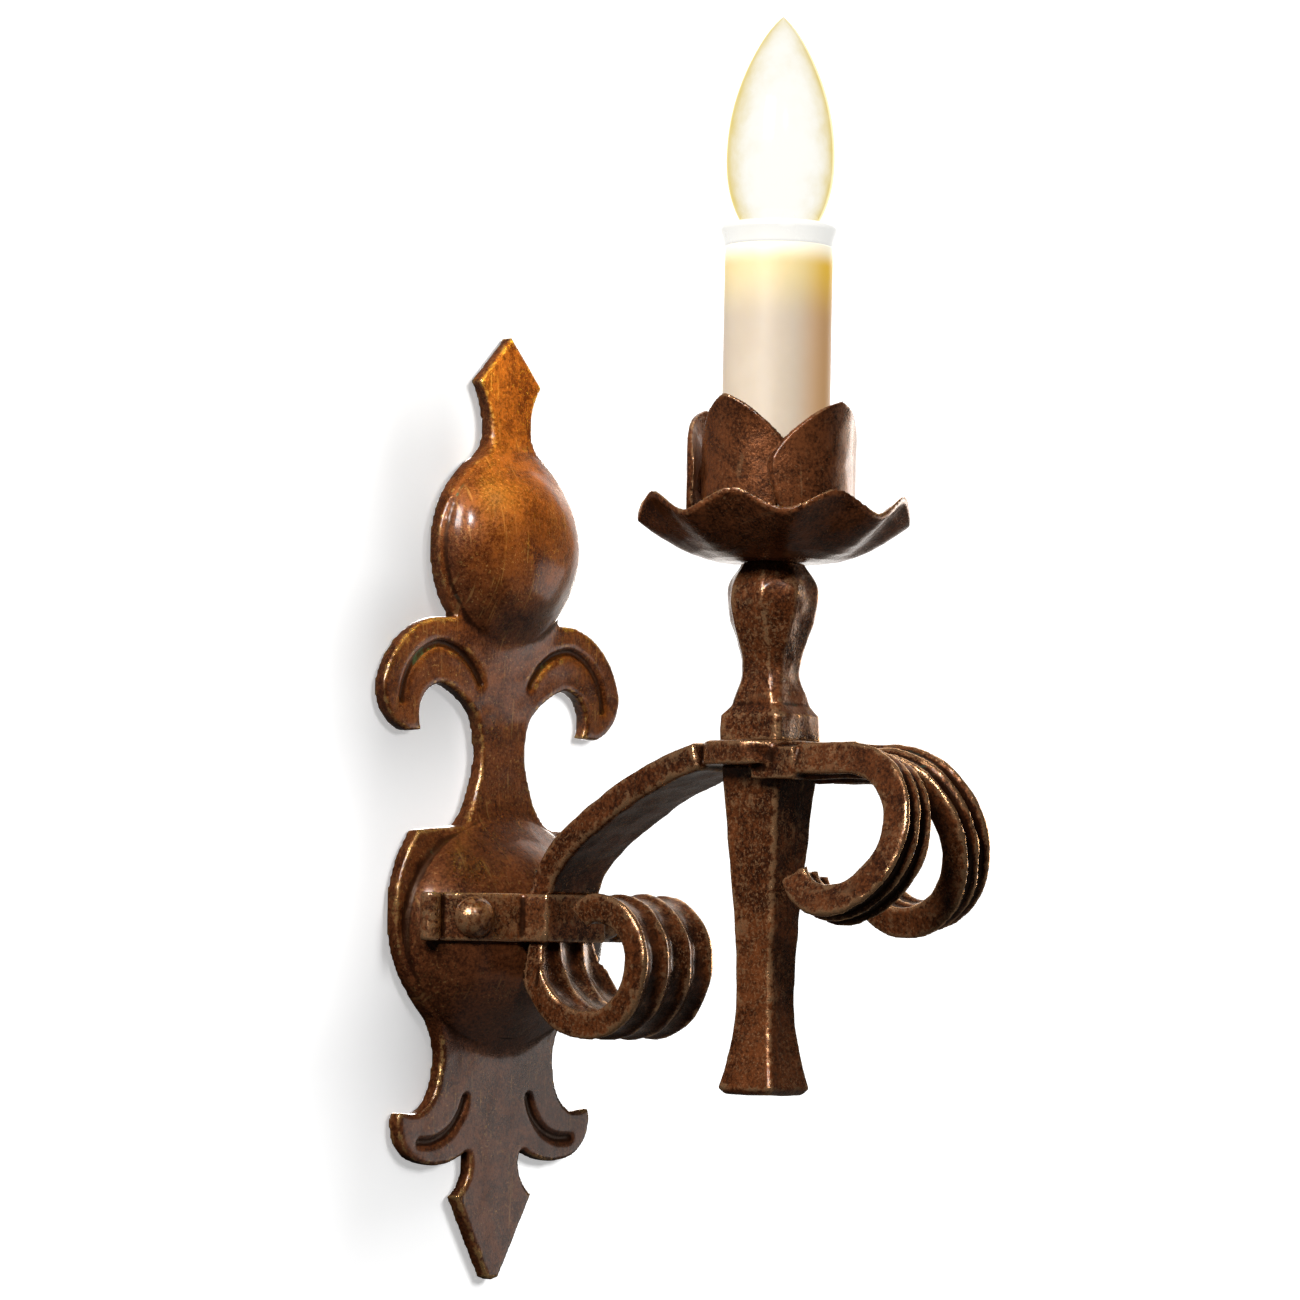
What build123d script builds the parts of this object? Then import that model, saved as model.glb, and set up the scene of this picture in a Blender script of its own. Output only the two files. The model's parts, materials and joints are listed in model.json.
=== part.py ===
from build123d import *
import math
import os

os.makedirs("parts", exist_ok=True)

# Frame: the wall is the plane Y = 0, the light stands out towards -Y, +Z is up.
# The origin lies on the wall midway between the two keyhole entries. Sizes in millimetres.

# Fits
fit = 0.1                # radial play of a fixed round piece in its hole
seat = 0.05              # play of a piece laid against a curved one

# Wall plate
plate_t = 5.0            # flat sheet
dome_wall = 2.5          # sheet left where the domes are raised
low_dome_x = 45.0        # half width, depth and half height of the lower dome
low_dome_y = 23.0
low_dome_z = 38.0
low_dome_mid = -5.0      # height of its middle
top_dome_x = 31.0        # the same for the upper dome
top_dome_y = 16.0
top_dome_z = 32.5
top_dome_mid = 123.5
groove_r = 1.7           # chisel groove in the leaves
spear_top = 194.5        # tip of the upper spear, and its half width
spear_half = 15.0
neck_half = 9.6
crown_half = 32.6        # half width round the upper dome
leaf_half_w = 57.2       # the upper leaves reach out this far
waist_half = 10.6
lobe_half = 49.3         # half width round the lower dome
foot_half = 45.6         # the lower leaves reach out this far
tail_half = 18.2         # lower spear: half width and tip
tail_low = -120.6

# Hanger bar in the hollow of the lower dome
hang_x = 28.0            # keyholes stand this far from the middle
hang_r = 4.5             # keyhole entry
hang_slot_r = 2.5        # keyhole slot
hang_rise = 8.0          # from entry to the end of the slot
bar_t = 3.0
bar_low = -7.0
bar_high = 13.0

# Terminal block
block_x = 24.0
block_y = 14.0
block_low = -8.0
block_high = 6.0
pole_pitch = 8.0
block_screw_r = 1.5

# Arm and scrolls
arm_w = 25.0
arm_t = 9.4
arm_turn = 52.0          # the first bend above the strap, in degrees
arm_bend = 31.0          # and its radius
reach = 122.0            # wall to candle axis
eye_z = 50.0             # underside of the eye
eye_t = 7.7
eye_r = 21.0
flute_depth = 1.9
rear_w = 34.0
rear_drop = 7.5          # straight run below the strap's middle
rear_bends = (27.0, 21.0, 17.3, 10.0)
rear_turns = (-90, -90, -90, -50)
front_w = 13.2
front_t = 10.5
front_lean = 15.0        # each front scroll leans outwards by this much
front_start = 23.0       # from the candle axis to the split
front_gap = 8.4          # middle of each half at the split
front_bend_left = 23.0
front_bend_right = 25.0
front_curl = 16.0
front_curl_turn = 62.0

# Strap
strap_h = 15.8
strap_t = 2.2
roll_r = 3.5
roll_turn = 22.0         # place of the rolled end round the dome, in degrees
rivet_turn = 46.5        # place of the rivet round the dome
rivet_r = 2.5
rivet_head_r = 7.1
rivet_head_h = 6.0

# Rod and stem
tube_r = 5.0
tube_bore = 3.5
tube_depth = 24.0        # the rod goes this far into the finial
stem_turn = 4.0          # the stem stands turned a little on its thread
shank_h = 104.5          # length of the finial below the eye
block_half = 11.8
stem_block_h = 8.3
stem_h = 57.2            # from the eye to the drip pan

# Drip pan and leaf cup
pan_r = 43.5
pan_flat = 16.0
pan_depth = 15.8
pan_wave = 3.2
pan_lobes = 8
pan_t = 1.6
leaf_t = 1.8
leaf_outer_r = 27.0
leaf_inner_r = 23.5
leaf_shift = 1.5         # the outer strip sits this much towards the wall
leaf_h = 49.0
leaf_half = 20.0
leaf_foot = 7.5
leaf_flare = 2.5

# Lead
lead_r = 1.3
lead_play = 0.3
lead_bend = 8.0
lead_slope = 45.0
lead_turn_r = 10.0
bush_r = 3.0

# Candle
sleeve_r = 17.3
sleeve_wall = 1.2
sleeve_h = 96.2
collar_r = 18.95
collar_h = 7.2
washer_t = 1.5
nut_h = 4.8
nut_af = 14.0
holder_r = 13.0
holder_wall = 2.0
holder_drop = 4.3        # the holder ends this far below the sleeve's rim
base_h = 4.0
insert_drop = 28.0       # underside of the insert below the holder's rim
insert_h = 20.0
shell_r = 7.2            # bore of the screw shell
shell_wall = 0.4

# Lamp
cap_r = 6.9
bulb_r = 17.5
bulb_h = 98.0            # whole lamp
lamp_cap_h = 21.0        # from the contact up to the glass
neck_rise = 11.7         # from the neck of the glass up to where it swells
bulb_belly = 46.7        # from the widest place to the tip
glass_wall = 0.8

# Values that follow from the ones above
front_y = -plate_t                      # front of the flat sheet
apex_y = front_y - low_dome_y           # front of the lower dome
arm_y = apex_y - arm_t / 2              # middle of the arm at the strap
eye_top = eye_z + eye_t
front_z = eye_z + 0.6
pan_z = eye_top + stem_h                # underside of the drip pan
shank_low = eye_z - shank_h
tube_low = eye_z - tube_depth
candle = Axis((0, -reach, 0), (0, 0, 1))
floor_1 = pan_z + pan_t
floor_2 = floor_1 + leaf_t
floor_3 = floor_2 + leaf_t
sleeve_top = floor_3 + sleeve_h
holder_top = sleeve_top - holder_drop
insert_low = holder_top - insert_drop
bulb_low = insert_low + 9
bulb_top = bulb_low + bulb_h
bulb_mid = bulb_top - bulb_belly
glass_low = bulb_low + lamp_cap_h
nut_z = floor_3 + washer_t
base_z = nut_z + nut_h + 0.5
# the lead leaves the dome level, bends up and runs on in the groove of the arm
groove_off = arm_t / 2 - lead_r - lead_play - 0.1
arm_centre = arm_y - arm_bend
lead_turn = 30.0
lead_hub = arm_bend + groove_off + lead_bend
bush_z = lead_hub * math.sin(math.radians(lead_turn)) - lead_bend
bush_y = arm_centre + lead_hub * math.cos(math.radians(lead_turn))


def dome(x, y, z, middle):
    """Half a ball stretched to three half axes, standing on the front of the flat sheet."""
    half_ball = Solid.make_sphere(1, Plane.XZ, 0, 90)
    half_ball = scale(half_ball, by=(x, y, z), mode=Mode.PRIVATE)
    return Pos(0, front_y, middle) * half_ball


def round_dome(turn, out):
    """Point on the band line of the lower dome, moved outwards, and the outward direction there."""
    u = math.radians(turn)
    normal = Vector(math.cos(u) / low_dome_x, -math.sin(u) / low_dome_y, 0).normalized()
    point = Vector(low_dome_x * math.cos(u), front_y - low_dome_y * math.sin(u), 0)
    return point + normal * out, normal


def octagon(half, cut):
    """Square of this half width with its corners cut, in the current sketch."""
    near = half - cut
    ring = [(half, -near), (half, near), (near, half), (-near, half)]
    ring += [(-half, near), (-half, -near), (-near, -half), (near, -half)]
    Polygon(*ring, align=None)


def fluted(width, thick, outer, inner):
    """Section of a strip with rounded grooves along its outer (+) and inner (-) face."""
    RectangleRounded(width, thick, 1.4)
    for count, side in ((outer, 1), (inner, -1)):
        pitch = (width - 2) / count
        chord = pitch / 2 - 0.5
        deep = flute_depth if side == 1 else flute_depth * 0.7
        bow = (chord**2 + deep**2) / (2 * deep)
        mid_y = side * (thick / 2 - deep + bow)
        with Locations([((k - (count - 1) / 2) * pitch, mid_y) for k in range(count)]):
            Circle(bow, mode=Mode.SUBTRACT)


# Wall plate: half outline from the top spear to the bottom one, mirrored
with BuildPart() as back_plate:
    with BuildSketch(Plane.XZ):
        with BuildLine():
            spear = Line((0, spear_top), (spear_half, spear_top - 16.0))
            neck_mid = (neck_half + 1.4, spear_top - 23.0)
            neck = ThreePointArc(spear @ 1, neck_mid, (neck_half, spear_top - 30.5))
            flare_end = (neck_half + 6.4, spear_top - 42.0)
            flare = ThreePointArc(neck @ 1, (neck_half + 1.4, spear_top - 37.5), flare_end)
            crown_end = (crown_half - 9.0, top_dome_mid - 24.5)
            crown = ThreePointArc(flare @ 1, (crown_half, top_dome_mid + 4.5), crown_end)
            leaf_top = Line(crown @ 1, (leaf_half_w - 25.2, 98.8))
            leaf_out = ThreePointArc(leaf_top @ 1, (leaf_half_w - 6.7, 89.0), (leaf_half_w, 75.5))
            leaf_tip_out = (leaf_half_w - 11.7, 60.6)
            leaf_end = ThreePointArc(leaf_out @ 1, (leaf_half_w - 3.6, 65.6), leaf_tip_out)
            leaf_tip = Line(leaf_end @ 1, (leaf_half_w - 18.4, 61.2))
            leaf_mid = (leaf_half_w - 18.6, 72.0)
            leaf_in = ThreePointArc(leaf_tip @ 1, leaf_mid, (leaf_half_w - 27.8, 76.8))
            leaf_root = (waist_half + 2.6, 66.4)
            leaf_back = ThreePointArc(leaf_in @ 1, (waist_half + 10.9, 73.6), leaf_root)
            waist = ThreePointArc(leaf_back @ 1, (waist_half, 54.0), (waist_half + 2.6, 42.0))
            lobe_root = (waist_half + 9.9, low_dome_mid + 35.0)
            shoulder = ThreePointArc(waist @ 1, (waist_half + 5.2, low_dome_mid + 40.5), lobe_root)
            lobe_top = Line(shoulder @ 1, (lobe_half - 9.8, low_dome_mid + 33.3))
            lobe_end = (lobe_half - 5.5, low_dome_mid - 14.3)
            lobe = ThreePointArc(lobe_top @ 1, (lobe_half, low_dome_mid + 9.0), lobe_end)
            lobe_foot = (lobe_half - 17.8, low_dome_mid - 28.5)
            lobe_low = ThreePointArc(lobe @ 1, (lobe_half - 11.3, low_dome_mid - 22.0), lobe_foot)
            low_neck = ThreePointArc(lobe_low @ 1, (27.0, -44.0), (27.6, -53.0))
            foot_in = ThreePointArc(low_neck @ 1, (30.3, -60.0), (foot_half - 8.8, -65.2))
            foot_tip = Line(foot_in @ 1, (foot_half, -64.4))
            foot_out = ThreePointArc(foot_tip @ 1, (foot_half - 0.2, -72.0), (foot_half - 10, -81.0))
            foot_low = ThreePointArc(foot_out @ 1, (25.0, -81.8), (tail_half - 5.6, -77.2))
            tail_side = (tail_half, tail_low + 28.0)
            tail_neck = ThreePointArc(foot_low @ 1, (tail_half - 6.2, -84.5), tail_side)
            tail = Line(tail_neck @ 1, (2.8, tail_low + 0.6))
            Line(tail @ 1, (0, tail_low))
            mirror(about=Plane.YZ)
        make_face()
    extrude(amount=plate_t)
    add(dome(low_dome_x, low_dome_y, low_dome_z, low_dome_mid))
    add(dome(top_dome_x, top_dome_y, top_dome_z, top_dome_mid))
    # both domes are hollow and open at the back
    low_hollow = (low_dome_x - dome_wall, low_dome_y - dome_wall, low_dome_z - dome_wall)
    top_hollow = (top_dome_x - dome_wall, top_dome_y - dome_wall, top_dome_z - dome_wall)
    add(dome(*low_hollow, low_dome_mid), mode=Mode.SUBTRACT)
    add(dome(*top_hollow, top_dome_mid), mode=Mode.SUBTRACT)
    with BuildSketch(Plane.XZ):
        with Locations((0, low_dome_mid)):
            Ellipse(low_hollow[0], low_hollow[2])
        with Locations((0, top_dome_mid)):
            Ellipse(top_hollow[0], top_hollow[2])
    extrude(amount=plate_t, mode=Mode.SUBTRACT)
    # chisel grooves in both pairs of leaves
    for side in (1, -1):
        with BuildLine(Plane.XZ.offset(plate_t + 0.4)) as leaf_line:
            inner_run = ThreePointArc((side * 11.5, 76.5), (side * 19.5, 86.0), (side * 31.0, 90.0))
            ThreePointArc(inner_run @ 1, (side * 43.5, 83.5), (side * 48.5, 69.5))
        with BuildSketch(Plane(leaf_line.line @ 0, z_dir=leaf_line.line % 0)):
            Circle(groove_r)
        sweep(path=leaf_line.line, mode=Mode.SUBTRACT)
        with BuildLine(Plane.XZ.offset(plate_t + 0.4)) as foot_line:
            ThreePointArc((side * 14.8, -58.5), (side * 21.5, -70.3), (side * 37.5, -74.0))
        with BuildSketch(Plane(foot_line.line @ 0, z_dir=foot_line.line % 0)):
            Circle(groove_r)
        sweep(path=foot_line.line, mode=Mode.SUBTRACT)
    # rivet holes and the hole for the bush
    for turn in (rivet_turn, 180 - rivet_turn):
        place, out = round_dome(turn, 0)
        with BuildSketch(Plane(place, z_dir=out)):
            Circle(rivet_r + fit)
        extrude(amount=12, both=True, mode=Mode.SUBTRACT)
    with BuildSketch(Plane.XZ.offset(-bush_y - 8)):
        with Locations((0, bush_z)):
            Circle(bush_r + seat)
    extrude(amount=16, mode=Mode.SUBTRACT)
back_plate.part.label = "back_plate"
export_step(back_plate.part, "parts/back_plate.step")

# Hanger bar: a flat bar let into the hollow, its ends meet the dome's inside
with BuildPart() as hanger_bar:
    with BuildSketch(Plane.XZ):
        with Locations((0, (bar_low + bar_high) / 2)):
            Rectangle(2 * low_dome_x, bar_high - bar_low)
    extrude(amount=bar_t)
    with BuildSketch(Plane.XZ):
        with Locations((0, low_dome_mid)):
            Ellipse(low_hollow[0], low_hollow[2])
    extrude(amount=bar_t, mode=Mode.INTERSECT)
    with BuildSketch(Plane.XZ):
        for side in (1, -1):
            with Locations((side * hang_x, 0)):
                Circle(hang_r)
            with Locations((side * hang_x, hang_rise / 2)):
                SlotCenterToCenter(hang_rise, 2 * hang_slot_r, rotation=90)
        with Locations((block_x / 2 + 4, 8.5)):
            Circle(2.0 + fit)
    extrude(amount=bar_t, mode=Mode.SUBTRACT)
hanger_bar.part.label = "hanger_bar"
export_step(hanger_bar.part, "parts/hanger_bar.step")

# Earth screw in the bar
with BuildPart() as earth_screw:
    with BuildSketch(Plane.XZ.offset(0.2)):
        with Locations((block_x / 2 + 4, 8.5)):
            Circle(2.0)
    extrude(amount=bar_t - 0.2)
    with BuildSketch(Plane.XZ.offset(bar_t)):
        with Locations((block_x / 2 + 4, 8.5)):
            Circle(3.5)
    extrude(amount=2.4)
    with BuildSketch(Plane.XZ.offset(bar_t + 2.4)):
        with Locations((block_x / 2 + 4, 8.5)):
            Rectangle(7.2, 1.0)
    extrude(amount=-1.0, mode=Mode.SUBTRACT)
earth_screw.part.label = "earth_screw"
export_step(earth_screw.part, "parts/earth_screw.step")

# Terminal block on the front of the bar, two rows of screw wells and a wire hole behind each
with BuildPart() as terminal_block:
    with BuildSketch(Plane.XZ.offset(bar_t)):
        with Locations((0, (block_low + block_high) / 2)):
            RectangleRounded(block_x, block_high - block_low, 1.0)
    extrude(amount=block_y)
    wells = [(k * pole_pitch, z) for k in (-1, 0, 1) for z in (block_low + 3.5, block_high - 3.5)]
    with BuildSketch(Plane.XZ.offset(bar_t + block_y)):
        with Locations(*wells):
            Circle(block_screw_r + fit)
    extrude(amount=-6, mode=Mode.SUBTRACT)
    with BuildSketch(Plane.XY.offset(block_low)):
        with Locations(*[(k * pole_pitch, -bar_t - 4.0) for k in (-1, 0, 1)]):
            Circle(1.5)
    extrude(amount=5, mode=Mode.SUBTRACT)
terminal_block.part.label = "terminal_block"
export_step(terminal_block.part, "parts/terminal_block.step")

with BuildPart() as terminal_screws:
    with BuildSketch(Plane.XZ.offset(bar_t + block_y - 6)):
        with Locations(*wells):
            Circle(block_screw_r)
    extrude(amount=4.5)
    with BuildSketch(Plane.XZ.offset(bar_t + block_y - 1.5)):
        with Locations(*wells):
            Rectangle(4, 0.6)
    extrude(amount=-0.8, mode=Mode.SUBTRACT)
terminal_screws.part.label = "terminal_screws"
export_step(terminal_screws.part, "parts/terminal_screws.step")

# Bush in the dome, round the lead
with BuildPart() as cable_bush:
    with BuildSketch(Plane.XZ.offset(-bush_y - 1.0)):
        with Locations((0, bush_z)):
            Circle(bush_r)
            Circle(lead_r + seat, mode=Mode.SUBTRACT)
    extrude(amount=-5.5)
cable_bush.part.label = "cable_bush"
export_step(cable_bush.part, "parts/cable_bush.step")

# Strap: a band over the dome, stepped out round the arm, with a roll at each end
with BuildPart() as clamp_strap:
    roll_at, roll_dir = round_dome(roll_turn, seat + roll_r)
    arm_front = arm_y - arm_t / 2 - seat
    with BuildSketch(Plane.XY.offset(-strap_h / 2)):
        with Locations((0, front_y)):
            Ellipse(low_dome_x + seat + strap_t, low_dome_y + seat + strap_t)
        with Locations((0, front_y)):
            Rectangle(
                arm_w + 2 * (seat + strap_t),
                front_y - arm_front + strap_t,
                align=(Align.CENTER, Align.MAX),
            )
        with Locations((0, front_y)):
            Ellipse(low_dome_x + seat, low_dome_y + seat, mode=Mode.SUBTRACT)
            Rectangle(
                arm_w + 2 * seat,
                front_y - arm_front,
                align=(Align.CENTER, Align.MAX),
                mode=Mode.SUBTRACT,
            )
        with Locations((0, front_y)):
            Rectangle(2 * roll_at.X - 4.6, 100, align=(Align.CENTER, Align.MAX), mode=Mode.INTERSECT)
        with Locations((roll_at.X, roll_at.Y), (-roll_at.X, roll_at.Y)):
            Circle(roll_r)
            Circle(1.0, mode=Mode.SUBTRACT)
    extrude(amount=strap_h)
    for turn in (rivet_turn, 180 - rivet_turn):
        place, out = round_dome(turn, 0)
        with BuildSketch(Plane(place, z_dir=out)):
            Circle(rivet_r + fit)
        extrude(amount=10, both=True, mode=Mode.SUBTRACT)
clamp_strap.part.label = "clamp_strap"
export_step(clamp_strap.part, "parts/clamp_strap.step")

# Rivets: round head outside, shank through band and dome, flat head inside
with BuildPart() as strap_rivets:
    for turn in (rivet_turn, 180 - rivet_turn):
        place, out = round_dome(turn, seat + strap_t + 0.02)
        across = Vector(0, 0, 1)
        with BuildSketch(Plane(place, x_dir=across, z_dir=out.cross(across) * -1)):
            grip = strap_t + 0.9 + dome_wall
            ball = (rivet_head_r**2 + rivet_head_h**2) / (2 * rivet_head_h)
            with BuildLine():
                side = Line((0, -grip - 1.4), (rivet_r + 1.5, -grip - 1.4))
                rim = Line(side @ 1, (rivet_r + 1.5, -grip))
                under = Line(rim @ 1, (rivet_r, -grip))
                shank = Line(under @ 1, (rivet_r, 0))
                brim = Line(shank @ 1, (rivet_head_r, 0))
                head = RadiusArc(brim @ 1, (0, rivet_head_h), -ball)
                Line(head @ 1, side @ 0)
            make_face()
        revolve(axis=Axis(place, out))
strap_rivets.part.label = "strap_rivets"
export_step(strap_rivets.part, "parts/strap_rivets.step")

# Arm: flat bar bent up and forward to the eye, with a groove for the lead along its upper side
with BuildPart() as arm_bar:
    with BuildLine(Plane.YZ) as arm_path:
        arm_up = JernArc((arm_y, 0), (0, 1), arm_bend, arm_turn)
        arm_end = Vector(0, eye_r * 0.985 - reach, eye_z + 3.0)
        arm_out = TangentArc(arm_up @ 1, arm_end, tangent=arm_up % 1)
    with BuildSketch(Plane.XY):
        with Locations((0, arm_y)):
            RectangleRounded(arm_w, arm_t, 1.6)
    sweep(path=arm_path.line)
    with BuildSketch(Plane.XY.offset(eye_z)):
        with Locations((0, -reach)):
            Circle(eye_r)
    extrude(amount=eye_t)
    with BuildSketch(Plane.XY.offset(front_z - front_t / 2)):
        with Locations((0, -reach)):
            Rectangle(4 * front_gap - 2, front_start, align=(Align.CENTER, Align.MAX))
    extrude(amount=front_t)
    with BuildSketch(Plane.XY.offset(front_z - front_t / 2)):
        with Locations((0, -reach)):
            Circle(block_half * 1.42)
    extrude(amount=eye_z - front_z + front_t / 2, mode=Mode.SUBTRACT)
    with BuildSketch(Plane.XY.offset(eye_top)):
        with Locations((0, -reach)):
            Circle(eye_r * 1.3)
    extrude(amount=20, mode=Mode.SUBTRACT)
    with BuildSketch(Plane.XY):
        with Locations((0, -reach)):
            Circle(tube_r + fit)
    extrude(amount=100, mode=Mode.SUBTRACT)
    # flat seat for the strap across the foot
    with BuildSketch(Plane.XZ.offset(-arm_front - seat)):
        with Locations((0, strap_h / 4)):
            Rectangle(2 * arm_w, strap_h / 2 + 0.3)
    extrude(amount=10, mode=Mode.SUBTRACT)
    # groove for the lead, open upwards, along the arm and on over the eye
    with BuildLine(Plane.YZ) as groove_path:
        cut = JernArc((arm_y, 0), (0, 1), arm_bend, arm_turn)
        cut = TangentArc(cut @ 1, arm_end, tangent=cut % 1)
        Line(cut @ 1, (cut @ 1) + (cut % 1) * (eye_r - tube_r - 6))
    with BuildSketch(Plane.XY):
        with Locations((0, arm_y + groove_off - lead_r - lead_play)):
            Rectangle(2 * (lead_r + lead_play), arm_t, align=(Align.CENTER, Align.MIN))
    sweep(path=groove_path.line, mode=Mode.SUBTRACT)
arm_out_r = arm_out.radius
arm_out_turn = (arm_out % 0).get_angle(arm_out % 1)
arm_bar.part.label = "arm_bar"
export_step(arm_bar.part, "parts/arm_bar.step")

# Rear scroll: wide fluted strip from the foot of the arm, curled forward
with BuildPart() as rear_scroll:
    with BuildLine(Plane.YZ) as rear_path:
        run = Line((arm_y, 0), (arm_y, -rear_drop))
        for bend, turn in zip(rear_bends, rear_turns):
            run = JernArc(run @ 1, run % 1, bend, turn)
    with BuildSketch(Plane.XY):
        with Locations((0, arm_y)):
            fluted(rear_w, arm_t, 3, 3)
    sweep(path=rear_path.line)
    # the foot is as narrow as the arm behind the strap and widens below it
    with BuildSketch(Plane.XZ.offset(-arm_y - arm_t)):
        for side in (1, -1):
            with BuildLine():
                Polyline(
                    (side * arm_w / 2, 1),
                    (side * arm_w / 2, -strap_h / 2 - 0.5),
                    (side * (rear_w / 2 + 0.5), -strap_h / 2 - 18),
                    (side * (rear_w / 2 + 5), 1),
                    close=True,
                )
            make_face()
    extrude(amount=arm_t * 1.6, mode=Mode.SUBTRACT)
rear_scroll.part.label = "rear_scroll"
export_step(rear_scroll.part, "parts/rear_scroll.step")


def front_path(side, bend):
    """Plane and line of one front scroll: forward, round and down, and a small curl back up."""
    lean = math.radians(front_lean)
    up = Vector(-side * math.sin(lean), 0, math.cos(lean))
    ahead = Vector(0, -1, 0)
    start = Vector(side * front_gap, -reach - front_start, front_z)
    plane = Plane(start, x_dir=ahead, z_dir=ahead.cross(up))
    with BuildLine(plane) as line:
        straight = Line((0, 0), (45 - front_start + 23 - bend, 0))
        round_run = JernArc(straight @ 1, straight % 1, bend, -180)
        JernArc(round_run @ 1, round_run % 1, front_curl, -front_curl_turn)
    return plane, line.line


plane, line = front_path(-1, front_bend_left)
with BuildPart() as front_scroll_left:
    with BuildSketch(Plane(plane.origin, x_dir=plane.z_dir * -1, z_dir=plane.x_dir)):
        fluted(front_w, front_t, 2, 2)
    sweep(path=line)
front_scroll_left.part.label = "front_scroll_left"
export_step(front_scroll_left.part, "parts/front_scroll_left.step")

plane, line = front_path(1, front_bend_right)
with BuildPart() as front_scroll_right:
    with BuildSketch(Plane(plane.origin, x_dir=plane.z_dir * -1, z_dir=plane.x_dir)):
        fluted(front_w, front_t, 2, 2)
    sweep(path=line)
front_scroll_right.part.label = "front_scroll_right"
export_step(front_scroll_right.part, "parts/front_scroll_right.step")

# Lead: up out of the block, out of the dome, along the arm, slanting into the stem and up the rod
with BuildPart() as supply_lead:
    lead_top = insert_low - 1.0
    start_y = -bar_t - block_y / 2
    with BuildLine(Plane.YZ) as lead_path:
        rise = bush_z - block_high
        run = JernArc((start_y, block_high), (0, 1), rise, 90)
        run = Line(run @ 1, (bush_y, bush_z))
        run = JernArc(run @ 1, run % 1, lead_bend, lead_turn - 90)
        run = JernArc(run @ 1, run % 1, arm_bend + groove_off, arm_turn - lead_turn)
        run = JernArc(run @ 1, run % 1, arm_out_r + groove_off, arm_out_turn)
        slope_0 = math.degrees(math.atan2((run % 1).Z, -(run % 1).Y))
        run = JernArc(run @ 1, run % 1, lead_turn_r, slope_0 - lead_slope)
        slant = run
        run_y = -reach + lead_turn_r * (1 - math.sin(math.radians(lead_slope)))
        run_z = (run @ 1).Z + ((run @ 1).Y - run_y) * math.tan(math.radians(lead_slope))
        run = Line(run @ 1, (run_y, run_z))
        run = JernArc(run @ 1, run % 1, lead_turn_r, lead_slope - 90)
        Line(run @ 1, (-reach, lead_top))
    with BuildSketch(Plane.XY.offset(block_high)):
        with Locations((0, start_y)):
            Circle(lead_r)
    sweep(path=lead_path.line)
slant_z = run_z
supply_lead.part.label = "supply_lead"
export_step(supply_lead.part, "parts/supply_lead.step")

# Stem above the eye: square block, faceted neck and knob
with BuildPart() as baluster:
    for height, half, cut in ((eye_top, block_half, 1.2), (eye_top + stem_block_h, block_half, 1.2)):
        with BuildSketch(Plane.XY.offset(height)):
            with Locations(Location((0, -reach, 0), (0, 0, stem_turn))):
                octagon(half, cut)
    loft(ruled=True)
    knob = (
        (eye_top + stem_block_h, block_half, 1.2),
        (eye_top + stem_block_h + 3.5, 9.6, 2.0),
    )
    for height, half, cut in knob:
        with BuildSketch(Plane.XY.offset(height)):
            with Locations(Location((0, -reach, 0), (0, 0, stem_turn))):
                octagon(half, cut)
    loft(ruled=True)
    rise = pan_z - eye_top - stem_block_h - 3.5
    base = eye_top + stem_block_h + 3.5
    pear = ((0, 9.6, 2.0), (0.14, 8.2, 2.4), (0.27, 8.0, 3.0), (0.43, 9.8, 4.4), (0.60, 12.6, 6.6))
    pear += ((0.74, 13.9, 7.8), (0.88, 12.6, 7.2), (1.0, 9.6, 5.4))
    for share, half, cut in pear:
        with BuildSketch(Plane.XY.offset(base + share * rise)):
            with Locations(Location((0, -reach, 0), (0, 0, stem_turn))):
                octagon(half, cut)
    loft()
    with BuildSketch(Plane.XY.offset(eye_top)):
        with Locations((0, -reach)):
            Circle(tube_r + fit)
    extrude(amount=pan_z - eye_top, mode=Mode.SUBTRACT)
    # slanting hole for the lead
    with BuildLine(Plane.YZ) as slant_line:
        hole = Line(slant @ 1, (run_y, slant_z))
        JernArc(hole @ 1, hole % 1, lead_turn_r, lead_slope - 90)
    with BuildSketch(Plane(slant @ 1, z_dir=slant % 1)):
        Circle(lead_r + lead_play)
    sweep(path=slant_line.line, mode=Mode.SUBTRACT)
baluster.part.label = "baluster"
export_step(baluster.part, "parts/baluster.step")

# Finial below the eye: square bar drawn thin and spread at the end
with BuildPart() as drop_shank:
    steps = ((eye_z, 11.2), (eye_z - 5, 10.9), (20, 9.1), (-14, 7.1), (-36, 7.8), (-48, 9.8))
    for height, half in (*steps, (shank_low + 2, 10.8)):
        with BuildSketch(Plane.XY.offset(height)):
            with Locations(Location((0, -reach, 0), (0, 0, stem_turn))):
                octagon(half, 0.9)
    loft()
    for height, half in ((shank_low + 2, 10.8), (shank_low, 9.0)):
        with BuildSketch(Plane.XY.offset(height)):
            with Locations(Location((0, -reach, 0), (0, 0, stem_turn))):
                octagon(half, 0.9)
    loft(ruled=True)
    with BuildSketch(Plane.XY.offset(eye_z)):
        with Locations((0, -reach)):
            Circle(tube_r + seat)
    extrude(amount=tube_low - eye_z, mode=Mode.SUBTRACT)
drop_shank.part.label = "drop_shank"
export_step(drop_shank.part, "parts/drop_shank.step")

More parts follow.
